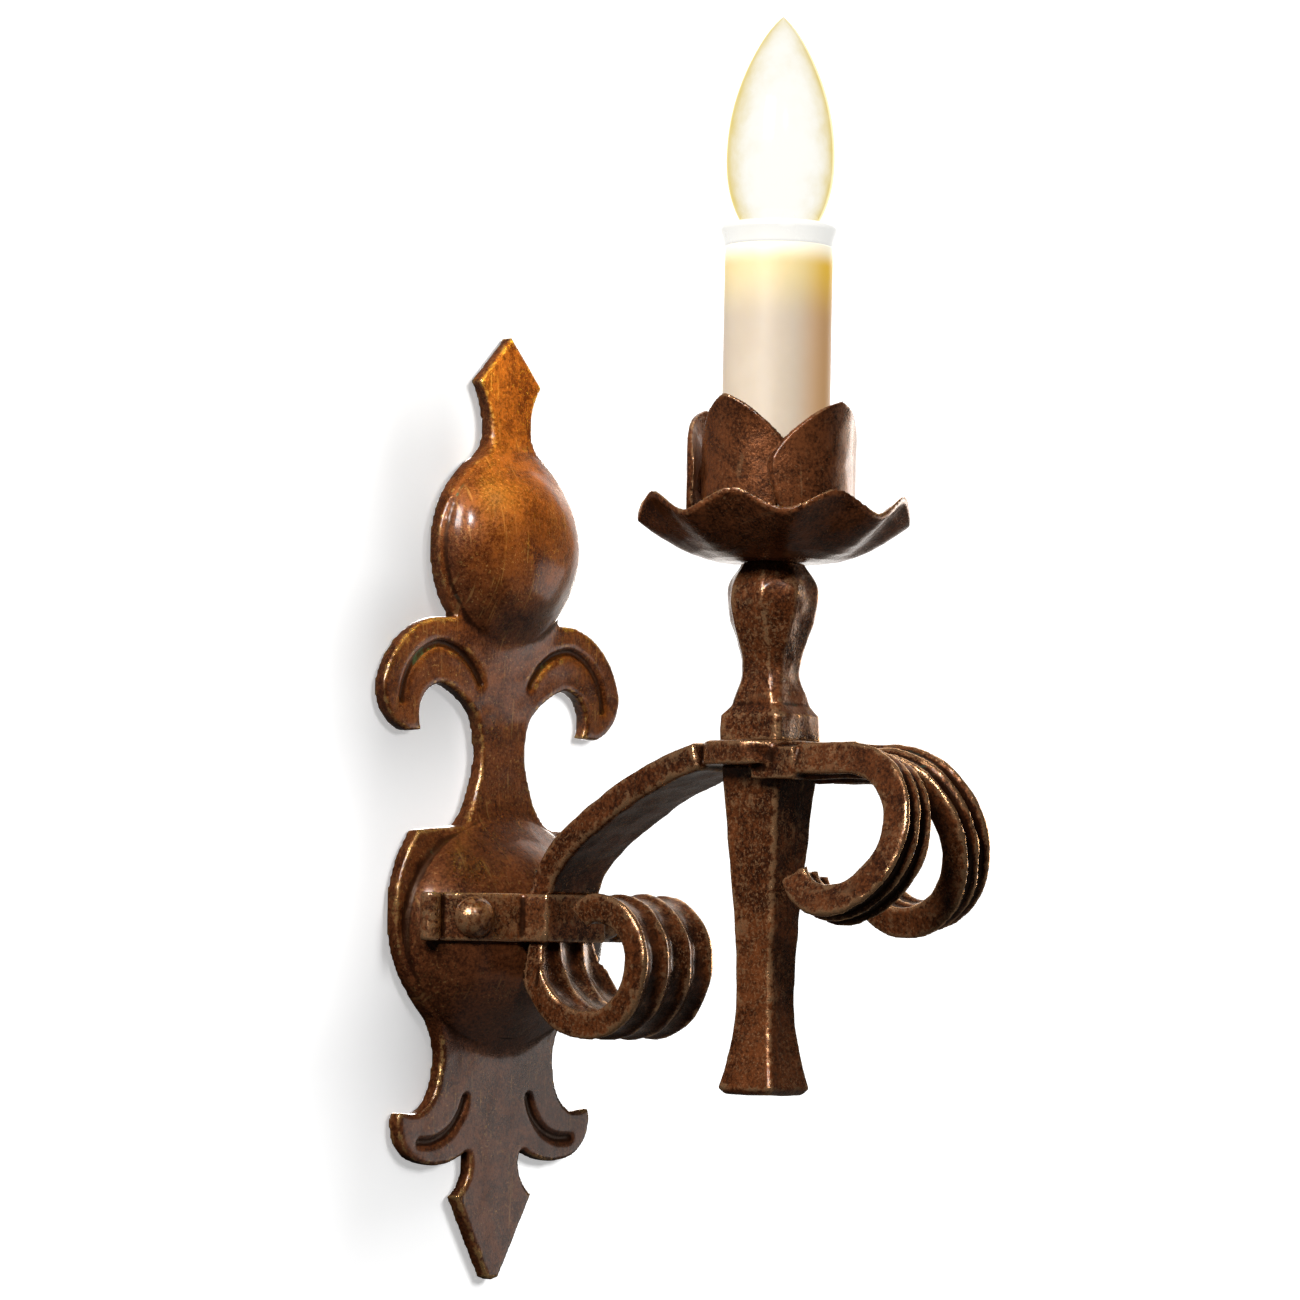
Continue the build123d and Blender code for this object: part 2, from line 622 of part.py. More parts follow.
# Hollow rod through the whole stack, slotted where the lead comes in
with BuildPart() as threaded_tube:
    with BuildSketch(Plane.XY.offset(tube_low)):
        with Locations((0, -reach)):
            Circle(tube_r)
            Circle(tube_bore, mode=Mode.SUBTRACT)
    extrude(amount=base_z + base_h - tube_low)
    with BuildSketch(Plane.XZ.offset(reach - tube_r - 2)):
        with Locations((0, slant_z - 1.0)):
            SlotCenterToCenter(12, 2 * (lead_r + lead_play), rotation=90)
    extrude(amount=tube_r + 2, mode=Mode.SUBTRACT)
threaded_tube.part.label = "threaded_tube"
export_step(threaded_tube.part, "parts/threaded_tube.step")

# Drip pan: rings of a bowl whose rim waves up and down, joined by straight strips
with BuildPart() as drip_pan:
    rings = []
    lower = [pan_flat * 0.5, pan_flat, 21, 26, 31, 35.5, 39.5, pan_r]
    for top, radii in ((0, lower), (1, lower[::-1])):
        for radius in radii:
            share = max(0, (radius - pan_flat) / (pan_r - pan_flat))
            slope = 1.8 * pan_depth / (pan_r - pan_flat) * share**0.8
            height = pan_z + pan_depth * share**1.8 + top * pan_t * math.hypot(1, slope)
            points = []
            for k in range(pan_lobes * 4):
                turn = 2 * math.pi * k / (pan_lobes * 4)
                wave = pan_wave * share**2 * math.cos(pan_lobes * turn)
                points.append((radius * math.cos(turn), radius * math.sin(turn) - reach, height - wave))
            rings.append(Wire([Edge.make_spline([Vector(*p) for p in points], periodic=True)]))
    add(Solid.make_loft(rings, ruled=True))
    with BuildSketch(Plane.XY.offset(pan_z - 1)):
        with Locations((0, -reach)):
            Circle(tube_r + fit)
    extrude(amount=10, mode=Mode.SUBTRACT)
drip_pan.part.label = "drip_pan"
export_step(drip_pan.part, "parts/drip_pan.step")


def leaf_wall(plane, radius, floor, bend):
    """Closed profile of a cup wall: flat floor, rounded corner, upright wall and flared lip."""
    lip = floor + leaf_h
    turn = 1 - math.sqrt(0.5)
    inner_bend = bend - leaf_t
    with BuildSketch(plane) as profile:
        with BuildLine():
            under = Line((0, floor), (radius - bend, floor))
            half_way = (radius - bend * turn, floor + bend * turn)
            corner = ThreePointArc(under @ 1, half_way, (radius, floor + bend))
            wall = Line(corner @ 1, (radius, lip - 16))
            half_way = (radius + leaf_flare * 0.27, lip - 8)
            flare = ThreePointArc(wall @ 1, half_way, (radius + leaf_flare, lip))
            edge = Line(flare @ 1, (radius + leaf_flare - leaf_t, lip))
            half_way = (radius + leaf_flare * 0.27 - leaf_t, lip - 8)
            back = ThreePointArc(edge @ 1, half_way, (radius - leaf_t, lip - 16))
            inside = Line(back @ 1, (radius - leaf_t, floor + bend))
            half_way = (radius - leaf_t - inner_bend * turn, floor + leaf_t + inner_bend * turn)
            hollow = ThreePointArc(inside @ 1, half_way, (radius - bend, floor + leaf_t))
            top = Line(hollow @ 1, (0, floor + leaf_t))
            Line(top @ 1, under @ 0)
        make_face()
    return profile.sketch


def leaf_outline(plane, floor, half):
    """Pointed leaf seen from the front: narrow foot, full belly and a short point."""
    lip = floor + leaf_h
    with BuildSketch(plane) as outline:
        with BuildLine():
            foot = Line((0, floor - 1), (leaf_foot, floor - 1))
            widest = (half, floor + leaf_h * 0.62)
            belly = ThreePointArc(foot @ 1, (half - 2.2, floor + leaf_h * 0.30), widest)
            ThreePointArc(belly @ 1, (half * 0.64, floor + leaf_h * 0.85), (0, lip))
            mirror(about=Plane.YZ)
        make_face()
    return outline.sketch


# Outer strip: leaves to the front and to the wall
with BuildPart() as leaf_strip_outer:
    clear_bend = leaf_outer_r - pan_flat + leaf_shift + 1
    wall = leaf_wall(Plane.XZ.offset(reach - leaf_shift), leaf_outer_r, floor_1, clear_bend)
    revolve(wall, axis=Axis((0, leaf_shift - reach, 0), (0, 0, 1)))
    outline = leaf_outline(Plane.XZ.offset(reach), floor_1, leaf_half)
    extrude(outline, amount=60, both=True, mode=Mode.INTERSECT)
    with BuildSketch(Plane.XY.offset(floor_1)):
        with Locations((0, -reach)):
            Circle(tube_r + fit)
    extrude(amount=leaf_t, mode=Mode.SUBTRACT)
leaf_strip_outer.part.label = "leaf_strip_outer"
export_step(leaf_strip_outer.part, "parts/leaf_strip_outer.step")

# Inner strip: leaves to the left and right, laid across the outer one
with BuildPart() as leaf_strip_inner:
    wall = leaf_wall(Plane.XZ.offset(reach), leaf_inner_r, floor_2, leaf_inner_r - sleeve_r - 0.2)
    revolve(wall, axis=candle)
    across = Plane((0, -reach, 0), x_dir=(0, 1, 0), z_dir=(1, 0, 0))
    outline = leaf_outline(across, floor_2, leaf_half - 2)
    extrude(outline, amount=60, both=True, mode=Mode.INTERSECT)
    with BuildSketch(Plane.XY.offset(floor_2)):
        with Locations((0, -reach)):
            Circle(tube_r + fit)
    extrude(amount=leaf_t, mode=Mode.SUBTRACT)
leaf_strip_inner.part.label = "leaf_strip_inner"
export_step(leaf_strip_inner.part, "parts/leaf_strip_inner.step")


def ring(low, high, outer, inner):
    """Plain ring round the candle axis."""
    with BuildSketch(Plane.XY.offset(low)) as flat:
        with Locations((0, -reach)):
            Circle(outer)
            Circle(inner, mode=Mode.SUBTRACT)
    extrude(flat.sketch, amount=high - low)


# Washer and nut on the rod
with BuildPart() as lock_washer:
    ring(floor_3, nut_z, 9.5, tube_r + fit)
lock_washer.part.label = "lock_washer"
export_step(lock_washer.part, "parts/lock_washer.step")

with BuildPart() as lock_nut:
    with BuildSketch(Plane.XY.offset(nut_z)):
        with Locations((0, -reach)):
            RegularPolygon(nut_af / 2, 6, major_radius=False)
            Circle(tube_r + seat, mode=Mode.SUBTRACT)
    extrude(amount=nut_h)
lock_nut.part.label = "lock_nut"
export_step(lock_nut.part, "parts/lock_nut.step")

# Candle sleeve stands on the inner strip
with BuildPart() as candle_sleeve:
    ring(floor_3, sleeve_top, sleeve_r, sleeve_r - sleeve_wall)
candle_sleeve.part.label = "candle_sleeve"
export_step(candle_sleeve.part, "parts/candle_sleeve.step")

# Lampholder: base on the rod, tube, insert with the screw shell and the contact
with BuildPart() as lampholder_base:
    ring(base_z, base_z + base_h, holder_r, tube_r + seat)
    ring(base_z + base_h, base_z + base_h + 5, holder_r - holder_wall - fit, tube_r + seat + 1)
lampholder_base.part.label = "lampholder_base"
export_step(lampholder_base.part, "parts/lampholder_base.step")

with BuildPart() as lampholder_body:
    ring(base_z + base_h, holder_top, holder_r, holder_r - holder_wall)
lampholder_body.part.label = "lampholder_body"
export_step(lampholder_body.part, "parts/lampholder_body.step")

shell_low = insert_low + 10
with BuildPart() as lampholder_insert:
    ring(insert_low, insert_low + 4, holder_r - holder_wall - fit, lead_r + lead_play)
    bore = shell_r + shell_wall + seat
    ring(insert_low + 4, insert_low + insert_h, holder_r - holder_wall - fit, bore)
    with BuildSketch(Plane.XY.offset(insert_low)):
        with Locations((7.5, -reach), (-7.5, -reach)):
            Circle(1.5 + fit)
    extrude(amount=4, mode=Mode.SUBTRACT)
lampholder_insert.part.label = "lampholder_insert"
export_step(lampholder_insert.part, "parts/lampholder_insert.step")

with BuildPart() as lampholder_shell:
    ring(insert_low + 4, holder_top - 1, shell_r + shell_wall, shell_r)
lampholder_shell.part.label = "lampholder_shell"
export_step(lampholder_shell.part, "parts/lampholder_shell.step")

# Contact: strip on the floor of the insert, bent up and over below the lamp
with BuildPart() as lampholder_contact:
    strip = 0.6
    contact_top = bulb_low - 0.3
    with BuildSketch(Plane.XZ.offset(reach - 1.8)):
        with BuildLine():
            Polyline(
                (-5.5, insert_low + 4),
                (5.0, insert_low + 4),
                (5.0, contact_top - 0.8),
                (2.2, contact_top),
                (-3.0, contact_top),
                (-3.0, contact_top - strip),
                (2.2 - 0.2, contact_top - strip),
                (5.0 - strip, contact_top - 0.8 - strip * 0.6),
                (5.0 - strip, insert_low + 4 + strip),
                (-5.5, insert_low + 4 + strip),
                close=True,
            )
        make_face()
    extrude(amount=3.6)
lampholder_contact.part.label = "lampholder_contact"
export_step(lampholder_contact.part, "parts/lampholder_contact.step")

with BuildPart() as lampholder_screws:
    with BuildSketch(Plane.XY.offset(insert_low)):
        with Locations((7.5, -reach), (-7.5, -reach)):
            Circle(1.5)
    extrude(amount=4)
    with BuildSketch(Plane.XY.offset(insert_low)):
        with Locations((7.5, -reach), (-7.5, -reach)):
            Circle(2.6)
    extrude(amount=-1.6)
lampholder_screws.part.label = "lampholder_screws"
export_step(lampholder_screws.part, "parts/lampholder_screws.step")

# White collar: spigot in the sleeve, flange on the lampholder, flared rounded lip
with BuildPart() as lampholder_collar:
    bore = sleeve_r - sleeve_wall - fit
    lip_top = sleeve_top + collar_h
    with BuildSketch(Plane.XZ.offset(reach)):
        with BuildLine():
            flange = Line((9.6, holder_top), (bore, holder_top))
            spigot = Line(flange @ 1, (bore, sleeve_top))
            ledge = Line(spigot @ 1, (sleeve_r + 0.3, sleeve_top))
            half_way = (sleeve_r + 0.7, sleeve_top + 2.2)
            skirt = ThreePointArc(ledge @ 1, half_way, (collar_r, lip_top - 2.2))
            lip = ThreePointArc(skirt @ 1, (collar_r - 0.6, lip_top - 0.5), (collar_r - 1.9, lip_top))
            inside = ThreePointArc(lip @ 1, (bore - 0.3, lip_top - 2.0), (bore - 1.2, lip_top - 5.0))
            bowl = Line(inside @ 1, (bore - 1.6, holder_top + 2))
            floor = Line(bowl @ 1, (9.6, holder_top + 2))
            Line(floor @ 1, flange @ 0)
        make_face()
    revolve(axis=candle)
lampholder_collar.part.label = "lampholder_collar"
export_step(lampholder_collar.part, "parts/lampholder_collar.step")


def bulb_line(shrink):
    """Half profile of the glass, moved inwards by a wall, from the neck to the tip."""
    low = Vector(cap_r + 0.3 - shrink, glass_low)
    wide = Vector(bulb_r - shrink, bulb_mid)
    tip = Vector(0, bulb_top - shrink * 1.6)
    swell = (bulb_r - 4.1 - shrink, glass_low + neck_rise)
    lower = Spline(low, swell, wide, tangents=[(0.35, 1), (0, 1)])
    upper = Spline(
        wide,
        (bulb_r - 2.3 - shrink, bulb_top - 28.2),
        (bulb_r - 9.6 - shrink * 0.9, bulb_top - 10.2 - shrink * 0.4),
        tip,
        tangents=[(0, 1), (-0.75, 0.66)],
    )
    return lower, upper


# Lamp: candle-shaped glass, open at the neck
with BuildPart() as bulb_glass:
    with BuildSketch(Plane.XZ.offset(reach)):
        with BuildLine():
            outer_low, outer_top = bulb_line(0)
            inner_low, inner_top = bulb_line(glass_wall)
            Line(outer_top @ 1, inner_top @ 1)
            Line(inner_low @ 0, outer_low @ 0)
        make_face()
    revolve(axis=candle)
bulb_glass.part.label = "bulb_glass"
export_step(bulb_glass.part, "parts/bulb_glass.step")

# Screw cap: thin shell with rolled thread, closed by the insulator and the contact
thread_pitch = 2.822
with BuildPart() as bulb_cap:
    cap_low = bulb_low + 4.0
    with BuildSketch(Plane.XZ.offset(reach)):
        with BuildLine():
            edge = Line((cap_r - 1.6, cap_low), (cap_r - 0.9, cap_low))
            run = Line(edge @ 1, (cap_r - 0.6, cap_low + 0.6))
            for k in range(4):
                foot = cap_low + 0.6 + k * thread_pitch
                crest = (cap_r, foot + thread_pitch / 2)
                run = ThreePointArc(run @ 1, crest, (cap_r - 0.6, foot + thread_pitch))
            run = Line(run @ 1, (cap_r - 0.1, run.position_at(1).Y + 0.8))
            run = Line(run @ 1, (cap_r - 0.1, glass_low))
            run = Line(run @ 1, (cap_r - 1.3, glass_low))
            run = Line(run @ 1, (cap_r - 1.6, glass_low - 4))
            Line(run @ 1, edge @ 0)
        make_face()
    revolve(axis=candle)
bulb_cap.part.label = "bulb_cap"
export_step(bulb_cap.part, "parts/bulb_cap.step")

with BuildPart() as bulb_insulator:
    with BuildSketch(Plane.XZ.offset(reach)):
        with BuildLine():
            Polyline(
                (2.4, bulb_low + 1.0 + seat),
                (3.2, bulb_low + 1.0 + seat),
                (cap_r - 0.9, cap_low),
                (2.4, cap_low),
                close=True,
            )
        make_face()
    revolve(axis=candle)
bulb_insulator.part.label = "bulb_insulator"
export_step(bulb_insulator.part, "parts/bulb_insulator.step")

with BuildPart() as bulb_contact:
    with BuildSketch(Plane.XZ.offset(reach)):
        with BuildLine():
            low = ThreePointArc((0, bulb_low), (1.8, bulb_low + 0.35), (2.9, bulb_low + 1.0))
            run = Line(low @ 1, (2.4 - seat, bulb_low + 1.0))
            run = Line(run @ 1, (2.4 - seat, cap_low))
            run = Line(run @ 1, (0, cap_low))
            Line(run @ 1, low @ 0)
        make_face()
    revolve(axis=candle)
bulb_contact.part.label = "bulb_contact"
export_step(bulb_contact.part, "parts/bulb_contact.step")

# Glass mount in the neck, two lead wires and the filament
with BuildPart() as bulb_stem:
    with BuildSketch(Plane.XZ.offset(reach)):
        with BuildLine():
            foot = Line((0, glass_low - 3.0), (cap_r - 1.7, glass_low - 3.0))
            run = Line(foot @ 1, (cap_r - 1.7, glass_low - 1.0))
            run = Line(run @ 1, (2.4, glass_low + 7.0))
            run = Line(run @ 1, (2.4, glass_low + 18))
            run = Line(run @ 1, (1.2, glass_low + 19.6))
            run = Line(run @ 1, (0, glass_low + 19.6))
            Line(run @ 1, foot @ 0)
        make_face()
    revolve(axis=candle)
bulb_stem.part.label = "bulb_stem"
export_step(bulb_stem.part, "parts/bulb_stem.step")

wire_r = 0.35
with BuildPart() as bulb_leads:
    for side in (1, -1):
        with BuildLine(Plane.XZ.offset(reach)) as wire:
            run = Line((side * (2.4 + wire_r), glass_low + 13), (side * (2.4 + wire_r), glass_low + 17))
            run = Line(run @ 1, (side * 7.0, bulb_mid + 4))
        with BuildSketch(Plane.XY.offset(glass_low + 13)):
            with Locations((side * (2.4 + wire_r), -reach)):
                Circle(wire_r)
        sweep(path=wire.line, transition=Transition.ROUND)
bulb_leads.part.label = "bulb_leads"
export_step(bulb_leads.part, "parts/bulb_leads.step")

with BuildPart() as bulb_filament:
    with BuildLine(Plane.XZ.offset(reach)) as arch:
        ThreePointArc((-7.0, bulb_mid + 4 + wire_r), (0, bulb_mid + 13), (7.0, bulb_mid + 4 + wire_r))
    with BuildSketch(Plane(arch.line @ 0, z_dir=arch.line % 0)):
        Circle(0.55)
    sweep(path=arch.line)
bulb_filament.part.label = "bulb_filament"
export_step(bulb_filament.part, "parts/bulb_filament.step")
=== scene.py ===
# %% [markdown]
# This lesson dresses a forged wall light with an electric candle. The solids come from the packed
# frame, in metres, with the wall at Y = 0 and the light standing out towards -Y. They carry the
# sizes and the joints, so the dressed pieces have to fill the same box. It is kept here.

import json
import math

import bpy
from mathutils import Matrix, Vector


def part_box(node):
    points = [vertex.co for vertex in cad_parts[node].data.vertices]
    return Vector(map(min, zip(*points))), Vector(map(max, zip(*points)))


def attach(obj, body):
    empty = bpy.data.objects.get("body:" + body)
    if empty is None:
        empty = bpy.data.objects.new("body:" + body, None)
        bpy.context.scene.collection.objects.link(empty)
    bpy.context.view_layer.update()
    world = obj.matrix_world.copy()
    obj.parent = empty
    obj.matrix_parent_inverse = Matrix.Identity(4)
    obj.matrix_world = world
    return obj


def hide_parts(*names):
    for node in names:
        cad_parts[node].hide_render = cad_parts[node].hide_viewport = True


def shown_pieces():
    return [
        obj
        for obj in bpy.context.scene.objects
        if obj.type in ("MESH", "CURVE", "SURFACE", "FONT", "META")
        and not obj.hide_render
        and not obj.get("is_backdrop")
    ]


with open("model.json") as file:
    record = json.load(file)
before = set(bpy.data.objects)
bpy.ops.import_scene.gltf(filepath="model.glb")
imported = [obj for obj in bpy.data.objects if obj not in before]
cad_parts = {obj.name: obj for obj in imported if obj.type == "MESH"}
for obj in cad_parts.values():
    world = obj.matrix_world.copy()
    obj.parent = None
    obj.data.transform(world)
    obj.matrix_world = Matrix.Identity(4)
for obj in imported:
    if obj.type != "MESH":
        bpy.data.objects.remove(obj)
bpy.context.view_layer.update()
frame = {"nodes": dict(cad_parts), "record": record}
mm = 0.001

# %% [markdown]
# The camera stands a good metre and a half off, to the left of the light, and looks slightly up. A
# long lens from there keeps the upright lines nearly parallel. Its axes are worked out from three
# angles and written straight into the camera's matrix, which is surer than turning it by hand. The
# Standard view transform shows colours as they are, so a white wall stays white.

# %% Camera
turn, tilt, roll = (math.radians(angle) for angle in (48.0, 2.9, 1.15))
stand_at, film_width, long_lens = (-1.21435, -1.16319, 0.00532), 36, 138.85
ahead = Vector((math.sin(turn) * math.cos(tilt), math.cos(turn) * math.cos(tilt), math.sin(tilt)))
side = Vector((math.cos(turn), -math.sin(turn), 0))
over = side.cross(ahead)
right = side * math.cos(roll) + over * math.sin(roll)
upright = over * math.cos(roll) - side * math.sin(roll)
bpy.ops.object.select_all(action="DESELECT")
bpy.ops.object.camera_add()
camera = bpy.context.active_object
camera.name = "camera"
stand = Matrix((right, upright, -ahead)).transposed().to_4x4()
camera.matrix_world = Matrix.Translation(stand_at) @ stand
camera.data.sensor_width = film_width
camera.data.lens = long_lens
bpy.context.scene.camera = camera
bpy.context.scene.view_settings.view_transform = "Standard"
print("camera at", [round(v, 3) for v in camera.matrix_world.translation])

# %% [markdown]
# Every finish below is a small tree of shader nodes. In Blender's window the nodes come from a menu
# and their sockets are joined by dragging. These helpers add a node and join its sockets in one
# line, so that each material can be read from top to bottom like a recipe.

# %% Node helpers
def put(tree, kind, settings=None, **inputs):
    """Adds a node: sockets are linked, and plain values are set."""
    made = tree.nodes.new(kind)
    made.location = (180 * (len(tree.nodes) % 8), -220 * (len(tree.nodes) // 8))
    for name, value in (settings or {}).items():
        setattr(made, name, value)
    for name, value in inputs.items():
        feed(tree, made.inputs[name.replace("_", " ")], value)
    return made


def feed(tree, socket, value):
    """Links a socket to another one, or gives it a value."""
    if isinstance(value, bpy.types.NodeSocket):
        tree.links.new(value, socket)
    else:
        socket.default_value = value


def calc(tree, operation, first, second):
    """A Math node and its result."""
    made = put(tree, "ShaderNodeMath", {"operation": operation})
    feed(tree, made.inputs[0], first)
    feed(tree, made.inputs[1], second)
    return made.outputs[0]


def mix(tree, share, first, second):
    """Two colours mixed by a share from 0 to 1."""
    made = put(tree, "ShaderNodeMix", {"data_type": "RGBA"})
    feed(tree, made.inputs[0], share)
    feed(tree, made.inputs[6], first)
    feed(tree, made.inputs[7], second)
    return made.outputs[2]


def spread(tree, value, low, high, floor=0.0, top=1.0):
    """Stretches the part of a value between low and high to floor and top."""
    made = put(tree, "ShaderNodeMapRange", {"interpolation_type": "SMOOTHSTEP"}, Value=value)
    for name, number in (("From Min", low), ("From Max", high), ("To Min", floor), ("To Max", top)):
        made.inputs[name].default_value = number
    return made.outputs[0]


def noise(tree, place, scale, detail=4.0, rough=0.55, twist=0.0):
    """A noise texture's value."""
    made = put(tree, "ShaderNodeTexNoise", Vector=place, Scale=scale, Detail=detail)
    made.inputs["Roughness"].default_value = rough
    made.inputs["Distortion"].default_value = twist
    return made.outputs["Fac"]


print("node helpers: put, feed, calc, mix, spread, noise")

# %% [markdown]
# Two more helpers start a tree. What several finishes share becomes a node group with sockets of its
# own, built once. A finish becomes a material and gets the object coordinates, which stay with a
# piece wherever its joint moves it, so the pattern never swims over the surface.

# %% Groups and finishes
def effect(name, ins, outs):
    """A new shader node group with its inputs and outputs."""
    tree = bpy.data.node_groups.new(name, "ShaderNodeTree")
    for socket, kind in ins:
        tree.interface.new_socket(socket, in_out="INPUT", socket_type=kind)
    for socket, kind in outs:
        tree.interface.new_socket(socket, in_out="OUTPUT", socket_type=kind)
    return tree, put(tree, "NodeGroupInput").outputs, put(tree, "NodeGroupOutput").inputs


def finish_named(name):
    """A new material with its Principled shader, and the object coordinates."""
    made = bpy.data.materials.new(name)
    made.use_nodes = True
    tree = made.node_tree
    shader = tree.nodes["Principled BSDF"]
    return made, tree, shader, put(tree, "ShaderNodeTexCoord").outputs["Object"]


print("tree helpers: effect, finish_named")

# %% [markdown]
# The iron was rubbed with rust-brown wax, and the wax then wiped off again wherever a cloth could
# reach. So the colour follows the shape: bare bronze on the ridges, dark wax on the flats, and in
# the hollows darker wax with a trace of green. That dark in the hollows is partly wax and partly
# painted shade, for the shadow that falls into them. It could be painted by hand, but the shape
# itself knows it better. This group turns a painted ridge map into those masks. Noise breaks the
# rubbed ridges up, and flecks and faint slanted scratches lie in patches on the flats.

# %% Rubbed edges and painted shade in hollows
rub, rub_in, rub_out = effect(
    "rubbed edges and shaded hollows",
    [("Ridge", "NodeSocketFloat"), ("Place", "NodeSocketVector"), ("Reach", "NodeSocketFloat")],
    [("Bare", "NodeSocketFloat"), ("Corner", "NodeSocketFloat")],
)
spot = rub_in["Place"]
broad = noise(rub, spot, scale=70, detail=6, rough=0.65)
fine = noise(rub, spot, scale=420, detail=4, rough=0.7)
broken = calc(rub, "ADD", calc(rub, "MULTIPLY", broad, 0.18), calc(rub, "MULTIPLY", fine, 0.38))
lifted = calc(rub, "ADD", rub_in["Ridge"], calc(rub, "SUBTRACT", broken, 0.28))
lifted = calc(rub, "ADD", lifted, rub_in["Reach"])
edge = spread(rub, lifted, low=0.55, high=0.68)
fleck = calc(rub, "ADD", noise(rub, spot, scale=1100, detail=3, rough=0.7), rub_in["Reach"])
fleck = spread(rub, fleck, low=0.56, high=0.70)
patch = spread(rub, noise(rub, spot, scale=55, detail=4, rough=0.6), low=0.38, high=0.60)
slant = put(
    rub, "ShaderNodeMapping", Vector=spot, Rotation=(0.5, 0.9, 0.4), Scale=(1.0, 0.05, 0.07)
).outputs[0]
scratch = spread(rub, noise(rub, slant, scale=900, detail=2, rough=0.5), low=0.62, high=0.70)
fleck = calc(rub, "MAXIMUM", calc(rub, "MULTIPLY", fleck, 0.6), calc(rub, "MULTIPLY", scratch, 0.2))
feed(rub, rub_out["Bare"], calc(rub, "MAXIMUM", edge, calc(rub, "MULTIPLY", fleck, patch)))
uneven = calc(rub, "MULTIPLY", calc(rub, "SUBTRACT", fine, 0.5), 0.06)
sunk = calc(rub, "ADD", rub_in["Ridge"], uneven)
# Corner marks the hollows, which the finishes darken with wax and painted shade.
feed(rub, rub_out["Corner"], spread(rub, sunk, low=0.497, high=0.460))
print("group:", rub.name, "nodes:", len(rub.nodes))

# %% [markdown]
# The wax itself is never even: it lies in brown and nearly black clouds, broken up by specks as fine
# as dust. One noise alone looks either soft or busy. Three noises at very different scales, added
# together, give that depth, and a fourth, finer still, is the grain that the bump uses.

# %% Brown wax
wax, wax_in, wax_out = effect(
    "brown wax",
    [("Place", "NodeSocketVector"), ("Dark", "NodeSocketColor"), ("Warm", "NodeSocketColor")],
    [("Color", "NodeSocketColor"), ("Cloud", "NodeSocketFloat"), ("Grain", "NodeSocketFloat")],
)
spot = wax_in["Place"]
cloud = noise(wax, spot, scale=42, detail=6, rough=0.65, twist=0.8)
blot = noise(wax, spot, scale=170, detail=5, rough=0.7)
speck = noise(wax, spot, scale=900, detail=4, rough=0.75)
grain = noise(wax, spot, scale=1500, detail=3, rough=0.6)
share = calc(wax, "ADD", calc(wax, "MULTIPLY", cloud, 0.35), calc(wax, "MULTIPLY", blot, 0.25))
share = calc(wax, "ADD", share, calc(wax, "MULTIPLY", speck, 0.5))
toned = mix(wax, spread(wax, share, low=0.45, high=0.66), wax_in["Dark"], wax_in["Warm"])
feed(wax, wax_out["Color"], toned)
feed(wax, wax_out["Cloud"], cloud)
feed(wax, wax_out["Grain"], grain)
print("group:", wax.name, "nodes:", len(wax.nodes))

# %% [markdown]
# Bars, leaves, rivets, strap and wall plate are one metal under one wax, so they share both groups.
# Bare metal is smoother and more metallic than wax, and a thin coat gives the wax its polish. A
# warm specular tint keeps the sheen brown. The pieces differ in how far they were rubbed (reach),
# how rough they are (dull) and how strong the coat is (polish), so each gets its own numbers.

# %% Forged iron
# The first colour is the dark of the hollows: wax left there, and painted shade.
deep_wax_and_shade, verdigris = (0.012, 0.0038, 0.002, 1), (0.035, 0.085, 0.06, 1)
warm_tint = (1.0, 0.72, 0.45, 1)


def iron(name, dark, warm, bare, reach, dull, polish, grain):
    """The waxed iron finish. Each piece's ridge map is an attribute; its hollows get wax and painted
    shade.
    """
    made, tree, shader, place = finish_named(name)
    ridge = put(tree, "ShaderNodeAttribute", {"attribute_name": "ridge_map"}).outputs["Fac"]
    skin = put(tree, "ShaderNodeGroup", {"node_tree": wax}, Place=place, Dark=dark, Warm=warm)
    worn_and_shaded = put(tree, "ShaderNodeGroup", {"node_tree": rub}, Ridge=ridge, Place=place, Reach=reach)
    rubbed, corner, cloudy = worn_and_shaded.outputs["Bare"], worn_and_shaded.outputs["Corner"], skin.outputs["Cloud"]
    color = mix(tree, rubbed, skin.outputs["Color"], bare)
    # Hollows are darkened: partly wax left there, partly painted shade.
    color = mix(tree, calc(tree, "MULTIPLY", corner, 0.85), color, deep_wax_and_shade)
    green = calc(tree, "MULTIPLY", corner, spread(tree, cloudy, low=0.58, high=0.68))
    color = mix(tree, calc(tree, "MULTIPLY", green, 0.7), color, verdigris)
    feed(tree, shader.inputs["Base Color"], color)
    smooth = calc(tree, "MULTIPLY", rubbed, 0.12)
    shine = spread(tree, cloudy, low=0.3, high=0.75, floor=dull - 0.07, top=dull + 0.08)
    feed(tree, shader.inputs["Roughness"], calc(tree, "SUBTRACT", shine, smooth))
    feed(tree, shader.inputs["Metallic"], spread(tree, rubbed, 0, 1, floor=0.3, top=0.85))
    feed(tree, shader.inputs["Coat Weight"], spread(tree, corner, 0, 1, floor=polish, top=0.05))
    shader.inputs["Coat Roughness"].default_value = 0.17
    shader.inputs["Specular IOR Level"].default_value = 0.14
    shader.inputs["Specular Tint"].default_value = warm_tint
    height = calc(tree, "ADD", skin.outputs["Grain"], calc(tree, "MULTIPLY", cloudy, 1.5))
    bump = put(tree, "ShaderNodeBump", Height=height, Strength=grain, Distance=0.3 * mm)
    feed(tree, shader.inputs["Normal"], bump.outputs[0])
    return made
